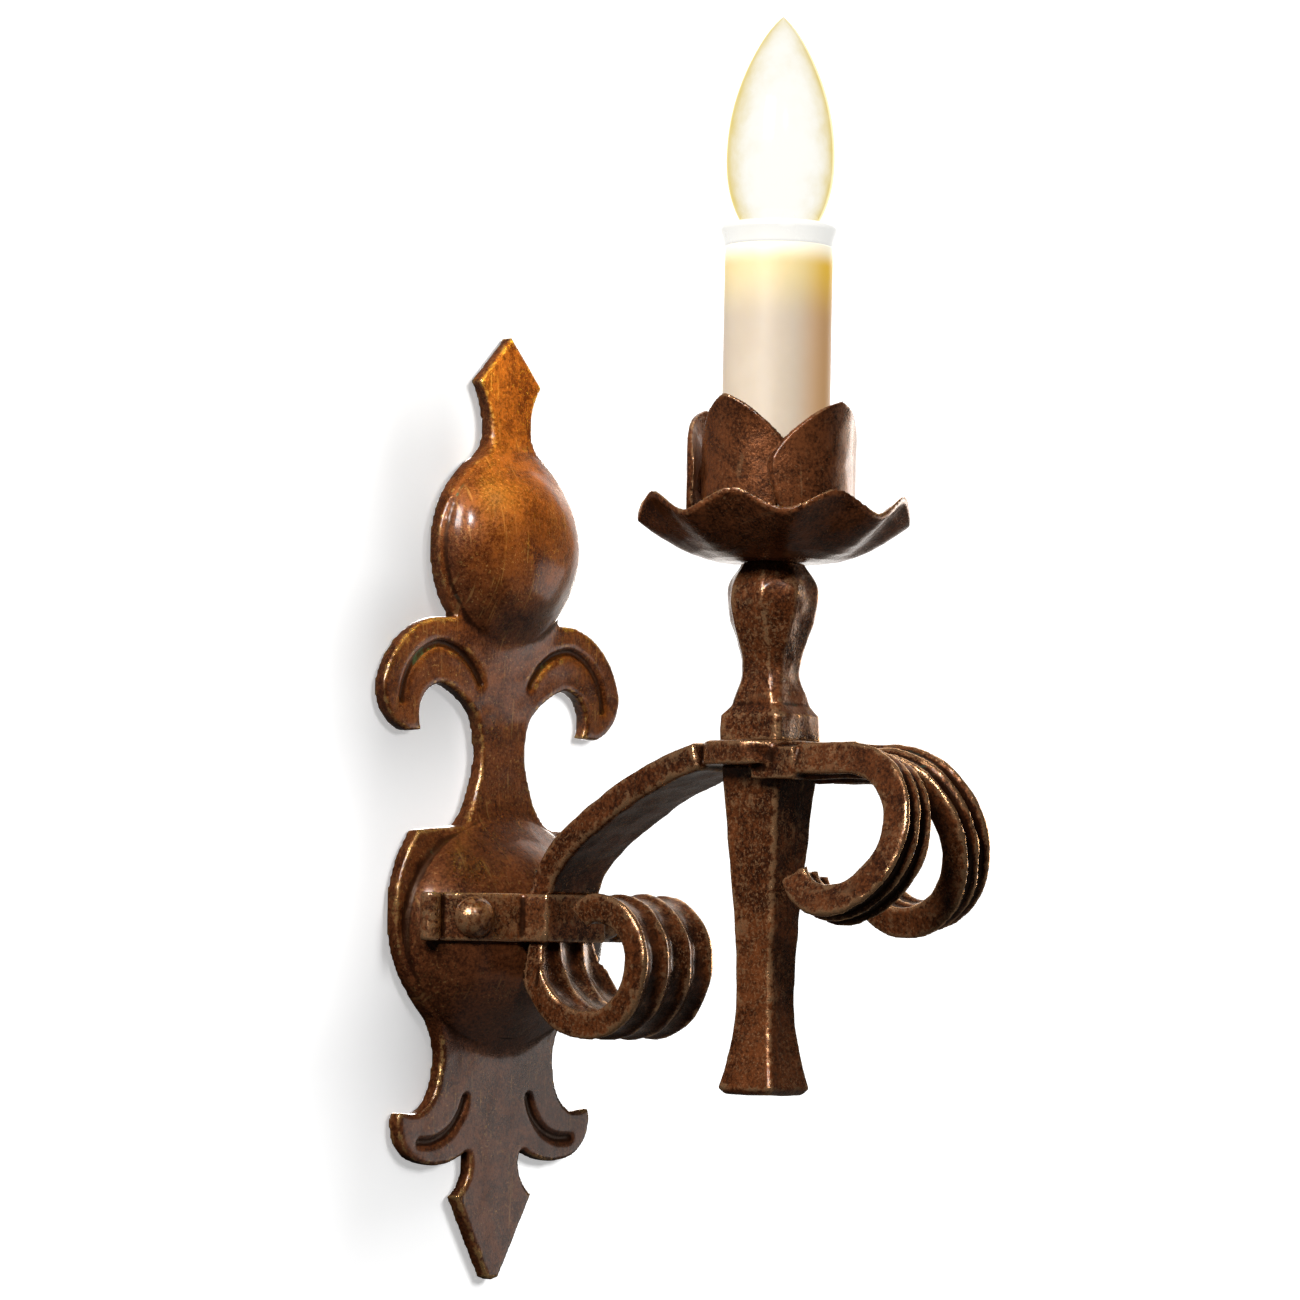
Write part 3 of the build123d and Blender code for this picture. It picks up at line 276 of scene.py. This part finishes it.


# The leaf and strap waxes are lighter than the bar wax: painted light that lifts the leaves and the
# strap.
bar_dark, bar_warm = (0.024, 0.006, 0.002, 1), (0.150, 0.043, 0.0125, 1)
leaf_warm, strap_warm = (0.160, 0.049, 0.016, 1), (0.180, 0.058, 0.020, 1)
bar_bare, plate_bare = (0.50, 0.27, 0.13, 1), (0.42, 0.24, 0.09, 1)
plate_dark, plate_warm = (0.027, 0.0064, 0.0022, 1), (0.118, 0.036, 0.012, 1)
bar_iron = iron(
    "bar iron", bar_dark, bar_warm, bar_bare, reach=0.03, dull=0.28, polish=0.32, grain=0.6
)
leaf_iron = iron(
    "leaf iron", bar_dark, leaf_warm, bar_bare, reach=-0.03, dull=0.28, polish=0.32, grain=0.6
)
rivet_iron = iron(
    "rivet iron", bar_dark, bar_warm, bar_bare, reach=0.07, dull=0.26, polish=0.5, grain=0.6
)
strap_iron = iron(
    "strap iron", bar_dark, strap_warm, bar_bare, reach=0.05, dull=0.22, polish=0.8, grain=0.5
)
plate_iron = iron(
    "plate iron", plate_dark, plate_warm, plate_bare, reach=-0.02, dull=0.32, polish=0.45, grain=0.6
)
print("iron:", [made.name for made in (bar_iron, leaf_iron, rivet_iron, strap_iron, plate_iron)])

# %% [markdown]
# A forged piece starts as a copy of its solid, which already has the right size and place. The
# copy's doubled corners are merged first, so that modifiers see one closed skin. Each modifier is
# applied as soon as it is set, and the next one then works on real vertices.

# %% Copies of solids
def copy_of(name, *nodes):
    """One new object from copies of solids, with their doubled corners merged."""
    bpy.ops.object.select_all(action="DESELECT")
    copies = []
    for node in nodes:
        copies.append(bpy.data.objects.new(name, frame["nodes"][node].data.copy()))
        bpy.context.collection.objects.link(copies[-1])
        copies[-1].select_set(True)
    piece = copies[0]
    bpy.context.view_layer.objects.active = piece
    if len(copies) > 1:
        bpy.ops.object.join()
    piece.data.materials.clear()
    bpy.ops.object.mode_set(mode="EDIT")
    bpy.ops.mesh.select_all(action="SELECT")
    bpy.ops.mesh.remove_doubles(threshold=0.002 * mm)
    bpy.ops.object.mode_set(mode="OBJECT")
    piece.name = name
    return piece


def shaped_by(piece, kind, **settings):
    """Adds one modifier and applies it at once."""
    bpy.context.view_layer.objects.active = piece
    step = piece.modifiers.new(kind.lower(), kind)
    for name, value in settings.items():
        setattr(step, name, value)
    bpy.ops.object.modifier_apply(modifier=step.name)


def keep(piece, body, finish, slot, *nodes):
    """Gives a piece its finish, its body and the solids that it stands for."""
    piece.data.materials.clear()
    piece.data.materials.append(finish)
    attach(piece, body)
    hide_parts(*nodes)
    triangles = sum(len(face.vertices) - 2 for face in piece.data.polygons)
    print(piece.name, "faces:", len(piece.data.polygons), "triangles:", triangles)


print("copy helpers: copy_of, shaped_by, keep")

# %% [markdown]
# No corner of hand-forged iron is sharp and no face is flat. That could be sculpted stroke by
# stroke. Here the Remesh modifier rebuilds a piece from small even cells, smoothing takes the
# machine edge off every corner, and Displace modifiers push in the hammer marks and the uneven
# faces. The ridge map is painted last with Blender's dirt tool, on the finished shape. It gives
# the mask for the rubbed ridges, and the mask for the hollows that get dark wax and painted shade.

# %% Hammer work
def dents(name, kind, size):
    """A procedural texture for the Displace modifier."""
    texture = bpy.data.textures.new(name, kind)
    texture.noise_scale = size
    return texture


hammer = dents("hammer marks", "VORONOI", 9 * mm)
waves = dents("uneven faces", "CLOUDS", 16 * mm)
print("dents:", hammer.name, "and", waves.name)


def recast(piece, cell):
    """Rebuilds a copy from even cells."""
    shaped_by(piece, "REMESH", mode="VOXEL", voxel_size=cell, use_smooth_shade=True)


def ridges(piece):
    """Paints a colour attribute: bright on ridges, dark in hollows, half-way on flats."""
    clean, dirty = math.radians(120), math.radians(60)
    bpy.context.view_layer.objects.active = piece
    bpy.ops.geometry.color_attribute_add(
        name="ridge_map", domain="CORNER", data_type="FLOAT_COLOR", color=(1, 1, 1, 1)
    )
    bpy.ops.paint.vertex_color_dirt(
        blur_strength=1, blur_iterations=2, clean_angle=clean, dirt_angle=dirty, normalize=False
    )


def hammered(piece, rounds, dent, wave):
    """Rounds the corners, pushes in the marks and paints the ridges."""
    shaped_by(piece, "SMOOTH", factor=0.5, iterations=rounds)
    for texture, strength in ((hammer, dent), (waves, wave)):
        blows = {"texture": texture, "strength": strength, "mid_level": 0.5}
        shaped_by(piece, "DISPLACE", texture_coords="LOCAL", **blows)
    ridges(piece)


def forged(piece, cell, rounds, dent, wave):
    """Rebuilds a copy from even cells and hammers it."""
    recast(piece, cell)
    hammered(piece, rounds, dent, wave)


# %% [markdown]
# The wall plate is thick sheet, cut to a fleur outline and driven out from behind into two domes.
# Driven sheet has no hard line round a dome: above and below, it runs out softly into the flat. The
# solid has that line, so run_out weighs the front vertices near it and a Displace modifier moves
# them. The cut edges were filed round, and a fine cell keeps the chisel marks in the leaves crisp.

# %% Wall plate
sheet_front, front_skin = -5 * mm, -4.6 * mm


def run_out(piece, middle, wide, high, deep, soft):
    """Lets a dome run out softly into the flat sheet above and below it."""
    start, end, fade_in, fade_out = 0.3, 1.8, 0.5, 0.4
    sink, swell = (piece.vertex_groups.new(name=name) for name in ("sink", "swell"))
    for vertex in piece.data.vertices:
        rise = (vertex.co.z - middle) / high
        off = math.hypot(vertex.co.x / wide, rise)
        if vertex.co.y < front_skin and start < off < end:
            bulge = 1 - off * off
            depth = deep * (bulge + math.hypot(bulge, soft)) / 2
            fade = min(1, (off - start) / fade_in) * min(1, (end - off) / fade_out)
            share = fade * (rise / off) ** 2
            move = share * (sheet_front - depth - vertex.co.y)
            group = swell if move < 0 else sink
            group.add([vertex.index], abs(move) / deep, "REPLACE")
    for group, way in (("sink", deep), ("swell", -deep)):
        shaped_by(piece, "DISPLACE", direction="Y", mid_level=0, strength=way, vertex_group=group)
    piece.vertex_groups.clear()


plate = copy_of("wall_plate", "back_plate")
recast(plate, cell=0.9 * mm)
run_out(plate, middle=-5 * mm, wide=45 * mm, high=38 * mm, deep=23 * mm, soft=0.25)
run_out(plate, middle=123.5 * mm, wide=31 * mm, high=32.5 * mm, deep=16 * mm, soft=0.4)
hammered(plate, rounds=3, dent=0.15 * mm, wave=0.35 * mm)
keep(plate, "frame", plate_iron, "forged_iron", "back_plate")

# %% [markdown]
# Arm, rear scroll and front scrolls were forge-welded, so no joint shows between them. As separate
# objects they would meet in sharp lines. Joined into one object, the Remesh modifier melts the
# touching ends together as the fire did.

# %% Arm and scrolls
arm = copy_of(
    "arm_and_scrolls", "arm_bar", "rear_scroll", "front_scroll_left", "front_scroll_right"
)
forged(arm, cell=0.75 * mm, rounds=4, dent=0.5 * mm, wave=1.0 * mm)
keep(
    arm, "frame", bar_iron, "forged_iron",
    "arm_bar", "rear_scroll", "front_scroll_left", "front_scroll_right",
)

# %% [markdown]
# The strap is thin strip, bent over the dome while it was hot, so its bends are soft. They are
# smoothed many times along the wall but not in height, and so the long edges stay where they are.
# The rivets are round heads set with a hammer. Both need finer cells and lighter blows than the
# bars.

# %% Strap and rivets
strap = copy_of("clamp_strap_band", "clamp_strap")
recast(strap, cell=0.5 * mm)
shaped_by(strap, "SMOOTH", factor=0.5, iterations=25, use_z=False)
hammered(strap, rounds=2, dent=0.2 * mm, wave=0.4 * mm)
keep(strap, "frame", strap_iron, "forged_iron", "clamp_strap")
rivets = copy_of("strap_rivet_heads", "strap_rivets")
forged(rivets, cell=0.4 * mm, rounds=3, dent=0.25 * mm, wave=0.3 * mm)
keep(rivets, "frame", rivet_iron, "forged_iron", "strap_rivets")

# %% [markdown]
# The stem was drawn out on the anvil in flat faces, so it keeps strong facets. The knob gets the
# deepest hammer marks of all, because it was shaped by single blows all round.

# %% Stem
knob = copy_of("stem_knob", "baluster")
forged(knob, cell=0.6 * mm, rounds=4, dent=0.8 * mm, wave=0.7 * mm)
keep(knob, "frame", bar_iron, "forged_iron", "baluster")
shank = copy_of("stem_shank", "drop_shank")
forged(shank, cell=0.6 * mm, rounds=4, dent=0.5 * mm, wave=0.8 * mm)
keep(shank, "frame", bar_iron, "forged_iron", "drop_shank")

# %% [markdown]
# Pan and leaves are thin sheet, beaten over a hollow block. The cells are small here, or the sheet
# would break into holes, and the blows are light, or it would look thick.

# %% Drip pan and leaf cup
pan = copy_of("pan_bowl", "drip_pan")
forged(pan, cell=0.5 * mm, rounds=3, dent=0.2 * mm, wave=0.6 * mm)
keep(pan, "frame", leaf_iron, "forged_iron", "drip_pan")
leaves = (("leaves_front_back", "leaf_strip_outer"), ("leaves_left_right", "leaf_strip_inner"))
cup = []
for name, node in leaves:
    cup.append(copy_of(name, node))
    forged(cup[-1], cell=0.5 * mm, rounds=3, dent=0.2 * mm, wave=0.7 * mm)
    keep(cup[-1], "frame", leaf_iron, "forged_iron", node)

# %% [markdown]
# The candle is a turned form. It could be spun from a profile with the Screw modifier. Here a circle
# is added, and each step extrudes its rim and scales it to the next radius, which is how a lathe
# form is drawn by hand. Its axis is kept by name, because the lamp in the bulb stands on it too.

# %% Turned forms
candle_y = -122 * mm


def turned(name, rings, corners):
    """A turned form from (height, radius) steps in millimetres."""
    bpy.ops.object.select_all(action="DESELECT")
    height, radius = rings[0]
    foot = (0, candle_y, height * mm)
    bpy.ops.mesh.primitive_circle_add(vertices=corners, radius=radius * mm, location=foot)
    piece = bpy.context.active_object
    piece.name = name
    bpy.ops.object.transform_apply(location=True, rotation=True, scale=True)
    bpy.ops.object.mode_set(mode="EDIT")
    bpy.ops.mesh.select_all(action="SELECT")
    for step, wide in rings[1:]:
        lift, grow = (step - height) * mm, wide / radius
        bpy.ops.mesh.extrude_region_move(TRANSFORM_OT_translate={"value": (0, 0, lift)})
        bpy.ops.transform.resize(value=(grow, grow, 1), center_override=(0, candle_y, step * mm))
        height, radius = step, wide
    bpy.ops.mesh.select_all(action="SELECT")
    bpy.ops.mesh.remove_doubles(threshold=0.01 * mm)
    bpy.ops.mesh.normals_make_consistent(inside=False)
    bpy.ops.object.mode_set(mode="OBJECT")
    return piece


def softened(piece, angle=30):
    """Smooth shading with the real corners kept."""
    bpy.ops.object.select_all(action="DESELECT")
    piece.select_set(True)
    bpy.context.view_layer.objects.active = piece
    bpy.ops.object.shade_smooth_by_angle(angle=math.radians(angle))


print("candle axis at y:", candle_y)

# %% [markdown]
# The candle sleeve is a cream plastic tube. The lamp above shines into its upper end, so a warm glow
# fades down from the rim, and the side turned away from the daylight is a deeper orange. Real light
# inside a thin tube renders slowly and with noise, so both are painted: emission that depends on the
# height and on the side is a painted glow over the whole tube, strongest at the rim, and the base
# colour is painted a deeper orange on the far side as painted shade.

# %% Cream sleeve finish, with painted glow and painted shade
glow_low, glow_high, lip_low, lip_high = 0.190, 0.211, 0.209, 0.217
cream, tree, shader, place = finish_named("candle cream")
axes = put(tree, "ShaderNodeSeparateXYZ", Vector=place).outputs
mottle = spread(tree, noise(tree, place, scale=55, detail=3), low=0.3, high=0.7)
toned = mix(tree, mottle, (0.48, 0.39, 0.285, 1), (0.525, 0.435, 0.33, 1))
# far grows on the side away from the key lamp. There the base colour is painted a deeper orange as
# painted shade, and the emitted glow is warmer.
far = calc(tree, "SUBTRACT", axes["X"], calc(tree, "SUBTRACT", axes["Y"], candle_y))
painted_shade_side = spread(tree, far, low=0.004, high=0.023, floor=0, top=0.9)
feed(tree, shader.inputs["Base Color"], mix(tree, painted_shade_side, toned, (0.465, 0.25, 0.105, 1)))
# The emission is painted light: a faint glow over the whole tube, stronger towards the top and
# brightest at the lip.
glow = mix(tree, spread(tree, far, 0.004, 0.023), (0.25, 0.21, 0.17, 1), (0.40, 0.23, 0.10, 1))
painted_top_glow = mix(tree, spread(tree, far, 0.008, 0.024), (0.52, 0.41, 0.11, 1), (0.66, 0.40, 0.02, 1))
glow = mix(tree, spread(tree, axes["Z"], glow_low, glow_high), glow, painted_top_glow)
glow = mix(tree, spread(tree, axes["Z"], lip_low, lip_high), glow, (0.92, 0.89, 0.74, 1))
feed(tree, shader.inputs["Emission Color"], glow)
shader.inputs["Emission Strength"].default_value = 1.0
shader.inputs["Roughness"].default_value = 0.42
shader.inputs["Subsurface Weight"].default_value = 0.25
shader.inputs["Subsurface Radius"].default_value = (0.006, 0.004, 0.002)
ripples = noise(tree, place, scale=90, detail=2)
ripple = put(tree, "ShaderNodeBump", Height=ripples, Strength=0.12, Distance=0.4 * mm)
feed(tree, shader.inputs["Normal"], ripple.outputs[0])
print("finish:", cream.name, "nodes:", len(tree.nodes))

# %% [markdown]
# The sleeve has a small round at both rims and an open bore, where the lampholder stands. Its
# heights are read from the solid's box, so that the turned tube ends exactly where the solid does.

# %% Candle sleeve
bore, lip, outside, rounding = 16.2, 17.0, 17.3, 0.3
sleeve_low, sleeve_top = (corner.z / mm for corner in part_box("candle_sleeve"))
sleeve = turned(
    "candle_tube",
    (
        (sleeve_low, bore),
        (sleeve_low, lip),
        (sleeve_low + rounding, outside),
        (sleeve_top - rounding, outside),
        (sleeve_top, lip),
        (sleeve_top, bore),
        (sleeve_low, bore),
    ),
    corners=96,
)
softened(sleeve)
keep(sleeve, "frame", cream, "candle_cream", "candle_sleeve")

# %% [markdown]
# The collar is glossy white plastic. Its white is mostly painted light: a grey base colour under an
# emission that stands in for the lamp inside it, whose light is kept off it. Its solid is already a
# clean turned form, so a copy with smooth shading is enough.

# %% White collar
white, tree, shader, place = finish_named("collar white")
cloudy = noise(tree, place, scale=60, detail=3)
tint = mix(tree, cloudy, (0.24, 0.23, 0.21, 1), (0.27, 0.26, 0.25, 1))
feed(tree, shader.inputs["Base Color"], tint)
gloss = spread(tree, cloudy, low=0.3, high=0.7, floor=0.22, top=0.32)
feed(tree, shader.inputs["Roughness"], gloss)
# The emission is painted light, standing in for the lamp inside.
glow = mix(tree, cloudy, (0.66, 0.65, 0.60, 1), (0.78, 0.78, 0.76, 1))
feed(tree, shader.inputs["Emission Color"], glow)
shader.inputs["Emission Strength"].default_value = 1.0
collar = copy_of("white_collar", "lampholder_collar")
softened(collar)
keep(collar, "frame", white, "collar_white", "lampholder_collar")

# %% [markdown]
# The lamp is clear glass, but it is lit, so its middle is far too bright to look into and only the
# rim shows the warm colour of the glass. Layer Weight tells the rim from the middle. The bulb casts
# no shadow, because the candle's own lamp stands inside it.

# %% Lamp glass
glass, tree, shader, place = finish_named("lamp glass")
facing = put(tree, "ShaderNodeLayerWeight", Blend=0.35).outputs["Facing"]
haze = calc(tree, "MULTIPLY", noise(tree, place, scale=120, detail=4, rough=0.6), 0.35)
rim = spread(tree, calc(tree, "ADD", facing, haze), low=0.22, high=0.85)
glow = mix(tree, rim, (1.0, 0.99, 0.94, 1), (0.74, 0.58, 0.16, 1))
feed(tree, shader.inputs["Emission Color"], glow)
shader.inputs["Emission Strength"].default_value = 1.0
shader.inputs["Base Color"].default_value = (0.02, 0.018, 0.012, 1)
shader.inputs["Roughness"].default_value = 0.1
shader.inputs["Specular IOR Level"].default_value = 0.2
bulb = copy_of("lamp_bulb", "bulb_glass")
softened(bulb, angle=50)
bulb.visible_shadow = False
keep(bulb, "lamp", glass, "lamp_glass", "bulb_glass")

# %% [markdown]
# Inner pieces are hidden by the dressing or seen only from behind. They keep the CAD solids, with a
# plain worked finish for each slot. A flat colour would look like a drawing, so even these get some
# mottling and a fine grain.

# %% Inner finishes
def plain(name, color, dull, metal, scale):
    """A finish with a little mottling and grain, for the inner pieces."""
    made, tree, shader, place = finish_named(name)
    mottle = noise(tree, place, scale, detail=4)
    darker = tuple(part * 0.75 for part in color) + (1,)
    tint = mix(tree, spread(tree, mottle, low=0.3, high=0.7), darker, color + (1,))
    feed(tree, shader.inputs["Base Color"], tint)
    gloss = spread(tree, mottle, low=0.3, high=0.7, floor=dull, top=dull + 0.12)
    feed(tree, shader.inputs["Roughness"], gloss)
    shader.inputs["Metallic"].default_value = metal
    fine = noise(tree, place, scale * 6, detail=2)
    bump = put(tree, "ShaderNodeBump", Height=fine, Strength=0.1, Distance=0.1 * mm)
    feed(tree, shader.inputs["Normal"], bump.outputs[0])
    return made


inner = {
    "zinc_steel": plain("zinc steel", (0.56, 0.56, 0.54), dull=0.3, metal=1.0, scale=150),
    "contact_brass": plain("contact brass", (0.70, 0.50, 0.20), dull=0.25, metal=1.0, scale=150),
    "block_plastic": plain("block plastic", (0.80, 0.80, 0.76), dull=0.45, metal=0.0, scale=80),
    "bush_rubber": plain("bush rubber", (0.03, 0.03, 0.03), dull=0.6, metal=0.0, scale=120),
    "lead_sheath": plain("lead sheath", (0.06, 0.05, 0.045), dull=0.5, metal=0.0, scale=120),
    "holder_plastic": plain("holder plastic", (0.86, 0.86, 0.83), dull=0.4, metal=0.0, scale=80),
    "cap_metal": plain("cap metal", (0.62, 0.62, 0.60), dull=0.25, metal=1.0, scale=150),
    "cap_insulator": plain("cap insulator", (0.03, 0.03, 0.035), dull=0.2, metal=0.0, scale=120),
    "mount_glass": plain("mount glass", (0.85, 0.88, 0.87), dull=0.1, metal=0.0, scale=120),
    "lamp_wire": plain("lamp wire", (0.5, 0.49, 0.47), dull=0.35, metal=1.0, scale=150),
    "filament": plain("filament", (0.9, 0.7, 0.4), dull=0.4, metal=1.0, scale=150),
}
for part in frame["record"]["subparts"]:
    if part["material_slot"] in inner:
        solid = frame["nodes"][part["node"]]
        solid.data.materials.clear()
        solid.data.materials.append(inner[part["material_slot"]])
        softened(solid)
print("inner finishes:", len(inner))

# %% [markdown]
# The light hangs on a wall that takes its soft shadow, with a floor far below. Two planes would do.
# One plane with its lower edge extruded forward has no gap between wall and floor. It stands a
# little behind the plate, so that the two never lie in one plane.

# %% Wall and floor
room, gap, half_way = 6, 0.6 * mm, 2.5
bpy.ops.object.select_all(action="DESELECT")
bpy.ops.mesh.primitive_plane_add(
    size=room, location=(0, gap, half_way), rotation=(math.radians(90), 0, 0)
)
wall = bpy.context.active_object
wall.name = "wall_and_floor"
bpy.ops.object.transform_apply(location=True, rotation=True, scale=True)
for corner in wall.data.vertices:
    corner.select = corner.co.z < 0
for line in wall.data.edges:
    line.select = all(wall.data.vertices[end].select for end in line.vertices)
for face in wall.data.polygons:
    face.select = False
bpy.ops.object.mode_set(mode="EDIT")
bpy.ops.mesh.select_mode(type="EDGE")
bpy.ops.mesh.extrude_region_move(TRANSFORM_OT_translate={"value": (0, -room, 0)})
bpy.ops.object.mode_set(mode="OBJECT")
wall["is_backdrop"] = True
print("stage:", wall.name, "faces:", len(wall.data.polygons))

# %% [markdown]
# The wall is plain white paint. A white wall throws so much light back that dark iron turns grey, and
# a photographer hangs black cloth against that. The Light Path node does the same here: the camera
# sees a white wall, while light bounced off it finds it darker, most of all on the left and below.
# Rays mirrored in the iron instead find a painted glow up to 1.6 strong on the wall to the upper
# right of the plate, which gives a painted reflection on the right-hand edges of the iron. Seen from
# behind, the wall would hide the light, so its back is see-through.

# %% Wall paint
paint, tree, shader, place = finish_named("wall paint")
shader.inputs["Roughness"].default_value = 0.9
path = put(tree, "ShaderNodeLightPath").outputs
seen = path["Is Camera Ray"]
spot = put(tree, "ShaderNodeSeparateXYZ", Vector=place).outputs
from_left = spread(tree, spot["X"], low=0.0, high=0.12, floor=0.06, top=0.3)
from_below = spread(tree, spot["Z"], low=-0.02, high=0.06, floor=0.4, top=1.0)
flagged = calc(tree, "MULTIPLY", from_left, from_below)
feed(tree, shader.inputs["Base Color"], mix(tree, seen, flagged, (0.85, 0.85, 0.85, 1)))
# Rays that mirror the wall see a painted glow, strong to the upper right of the plate: a painted
# reflection for the iron's right-hand edges.
mirrored = calc(tree, "MAXIMUM", path["Is Glossy Ray"], path["Is Transmission Ray"])
upward = spread(tree, spot["Z"], low=0.0, high=0.09, floor=0.05, top=1.6)
rightward = spread(tree, spot["X"], low=0.0, high=0.12, floor=0.05, top=1.0)
mirrored = calc(tree, "MULTIPLY", calc(tree, "MULTIPLY", mirrored, upward), rightward)
pale = spread(tree, spot["Z"], low=-0.49, high=-0.45, floor=0.75, top=0.42)
strength = calc(tree, "ADD", calc(tree, "MULTIPLY", seen, pale), mirrored)
feed(tree, shader.inputs["Emission Strength"], strength)
shader.inputs["Emission Color"].default_value = (1, 1, 1, 1)
clear = put(tree, "ShaderNodeBsdfTransparent")
behind = put(tree, "ShaderNodeNewGeometry").outputs["Backfacing"]
both = put(tree, "ShaderNodeMixShader")
feed(tree, both.inputs[0], behind)
feed(tree, both.inputs[1], shader.outputs[0])
feed(tree, both.inputs[2], clear.outputs[0])
feed(tree, tree.nodes["Material Output"].inputs["Surface"], both.outputs[0])
wall.data.materials.append(paint)
print("paint:", paint.name, "nodes:", len(tree.nodes))

# %% [markdown]
# Daylight in the room is white and weak. Where the camera looks past the wall the background has to
# be white as well, so the world is bright to the camera, straight or through glass, and dim to
# everything else.

# %% Daylight
world = bpy.data.worlds.new("studio")
bpy.context.scene.world = world
world.use_nodes = True
tree = world.node_tree
sky = tree.nodes["Background"]
sky.inputs["Color"].default_value = (1, 1, 1, 1)
path = put(tree, "ShaderNodeLightPath").outputs
looked_at = calc(tree, "MAXIMUM", path["Is Camera Ray"], path["Is Transmission Ray"])
feed(tree, sky.inputs["Strength"], spread(tree, looked_at, 0, 1, floor=0.06, top=1.0))
print("world:", world.name)

# %% [markdown]
# Seven softboxes stand round the light. The key lamp from the upper left models the forms. Spot and
# front lamps lift the plate and the smaller pieces, the rim lamp draws a line along the arm, and the
# sheen lamp lies on the plate and the pan. One lamp behind is for views from there, and one is for
# the wall alone. A single large lamp would light everything alike and make the iron look flat.

# %% Softboxes
def softbox(name, place, target, size, power):
    """A square area lamp turned towards a target."""
    bpy.ops.object.select_all(action="DESELECT")
    bpy.ops.object.light_add(type="AREA", location=place)
    lamp = bpy.context.active_object
    lamp.name = name
    lamp.data.size = size
    lamp.data.energy = power
    lamp.rotation_mode = "QUATERNION"
    lamp.rotation_quaternion = (Vector(target) - Vector(place)).to_track_quat("-Z", "Y")
    return lamp


middle, over_left = (0, -0.1, 0.05), (-0.95, -1.25, 0.95)
key_lamp = softbox("key_softbox", (-1.5, -0.45, 1.0), middle, size=0.6, power=42)
spot_lamp = softbox("spot_softbox", over_left, middle, size=0.2, power=19)
front_lamp = softbox("front_softbox", over_left, middle, size=0.1, power=10)
rim_lamp = softbox("rim_softbox", (1.4, -0.22, 0.1), middle, size=0.6, power=11)
back_lamp = softbox("back_softbox", (1.25, 1.0, 0.3), (0, 0, 0.05), size=0.8, power=24)
sheen_lamp = softbox("sheen_softbox", (1.15, -0.75, -0.38), (0, -0.05, 0.05), size=0.9, power=5.5)
wall_lamp = softbox("wall_softbox", (0.4, -1.5, 0.75), (0, 0, 0), size=0.7, power=36)
print("softboxes point at", middle)

# %% [markdown]
# The lit candle is a small warm lamp in the bulb, which paints the upper plate orange. It is made
# twice: one lamp gives the soft glow on the iron and the other the small glints in its polish, so
# that each can be set alone.

# %% Candle light
flame_at, flame_color, flame_size = (0, candle_y, 0.245), (1.0, 0.80, 0.09), 0.014
flames = []
for name, power in (("candle_glow", 7.2), ("candle_glint", 2.6)):
    bpy.ops.object.light_add(type="POINT", location=flame_at)
    flame = bpy.context.active_object
    flame.name = name
    flame.data.energy = power
    flame.data.color = flame_color
    flame.data.shadow_soft_size = flame_size
    flames.append(flame)
glow_lamp, glint_lamp = flames
glow_lamp.visible_glossy = False
glint_lamp.visible_diffuse = False
print("candle lamps:", glow_lamp.name, glint_lamp.name)

# %% [markdown]
# A photographer keeps each lamp to its own part of the object with flags of black card. Light
# linking does that without the card: each lamp gets a collection of the things it lights. The back
# lamp also has a list of what may shade it, and the wall isn't on it.

# %% Flags
def shine_on(lamp, things):
    """Keeps a lamp to some things, as a photographer's flags do."""
    lamp.light_linking.receiver_collection = bpy.data.collections.new("lit by " + lamp.name)
    for thing in things:
        lamp.light_linking.receiver_collection.objects.link(thing)


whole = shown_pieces()
glowing = (sleeve, collar, bulb)
front_pieces = (arm, strap, rivets, knob, shank, pan, *cup, *glowing)
shine_on(key_lamp, whole)
shine_on(spot_lamp, [plate])
shine_on(front_lamp, [piece for piece in whole if piece not in (plate, arm, sleeve)])
for flame in flames:
    shine_on(flame, [piece for piece in whole if piece not in glowing])
shine_on(rim_lamp, [arm, knob, pan, *cup])
shine_on(back_lamp, [piece for piece in whole if piece not in front_pieces])
back_lamp.light_linking.blocker_collection = key_lamp.light_linking.receiver_collection
shine_on(sheen_lamp, [plate, pan])
shine_on(wall_lamp, [wall])
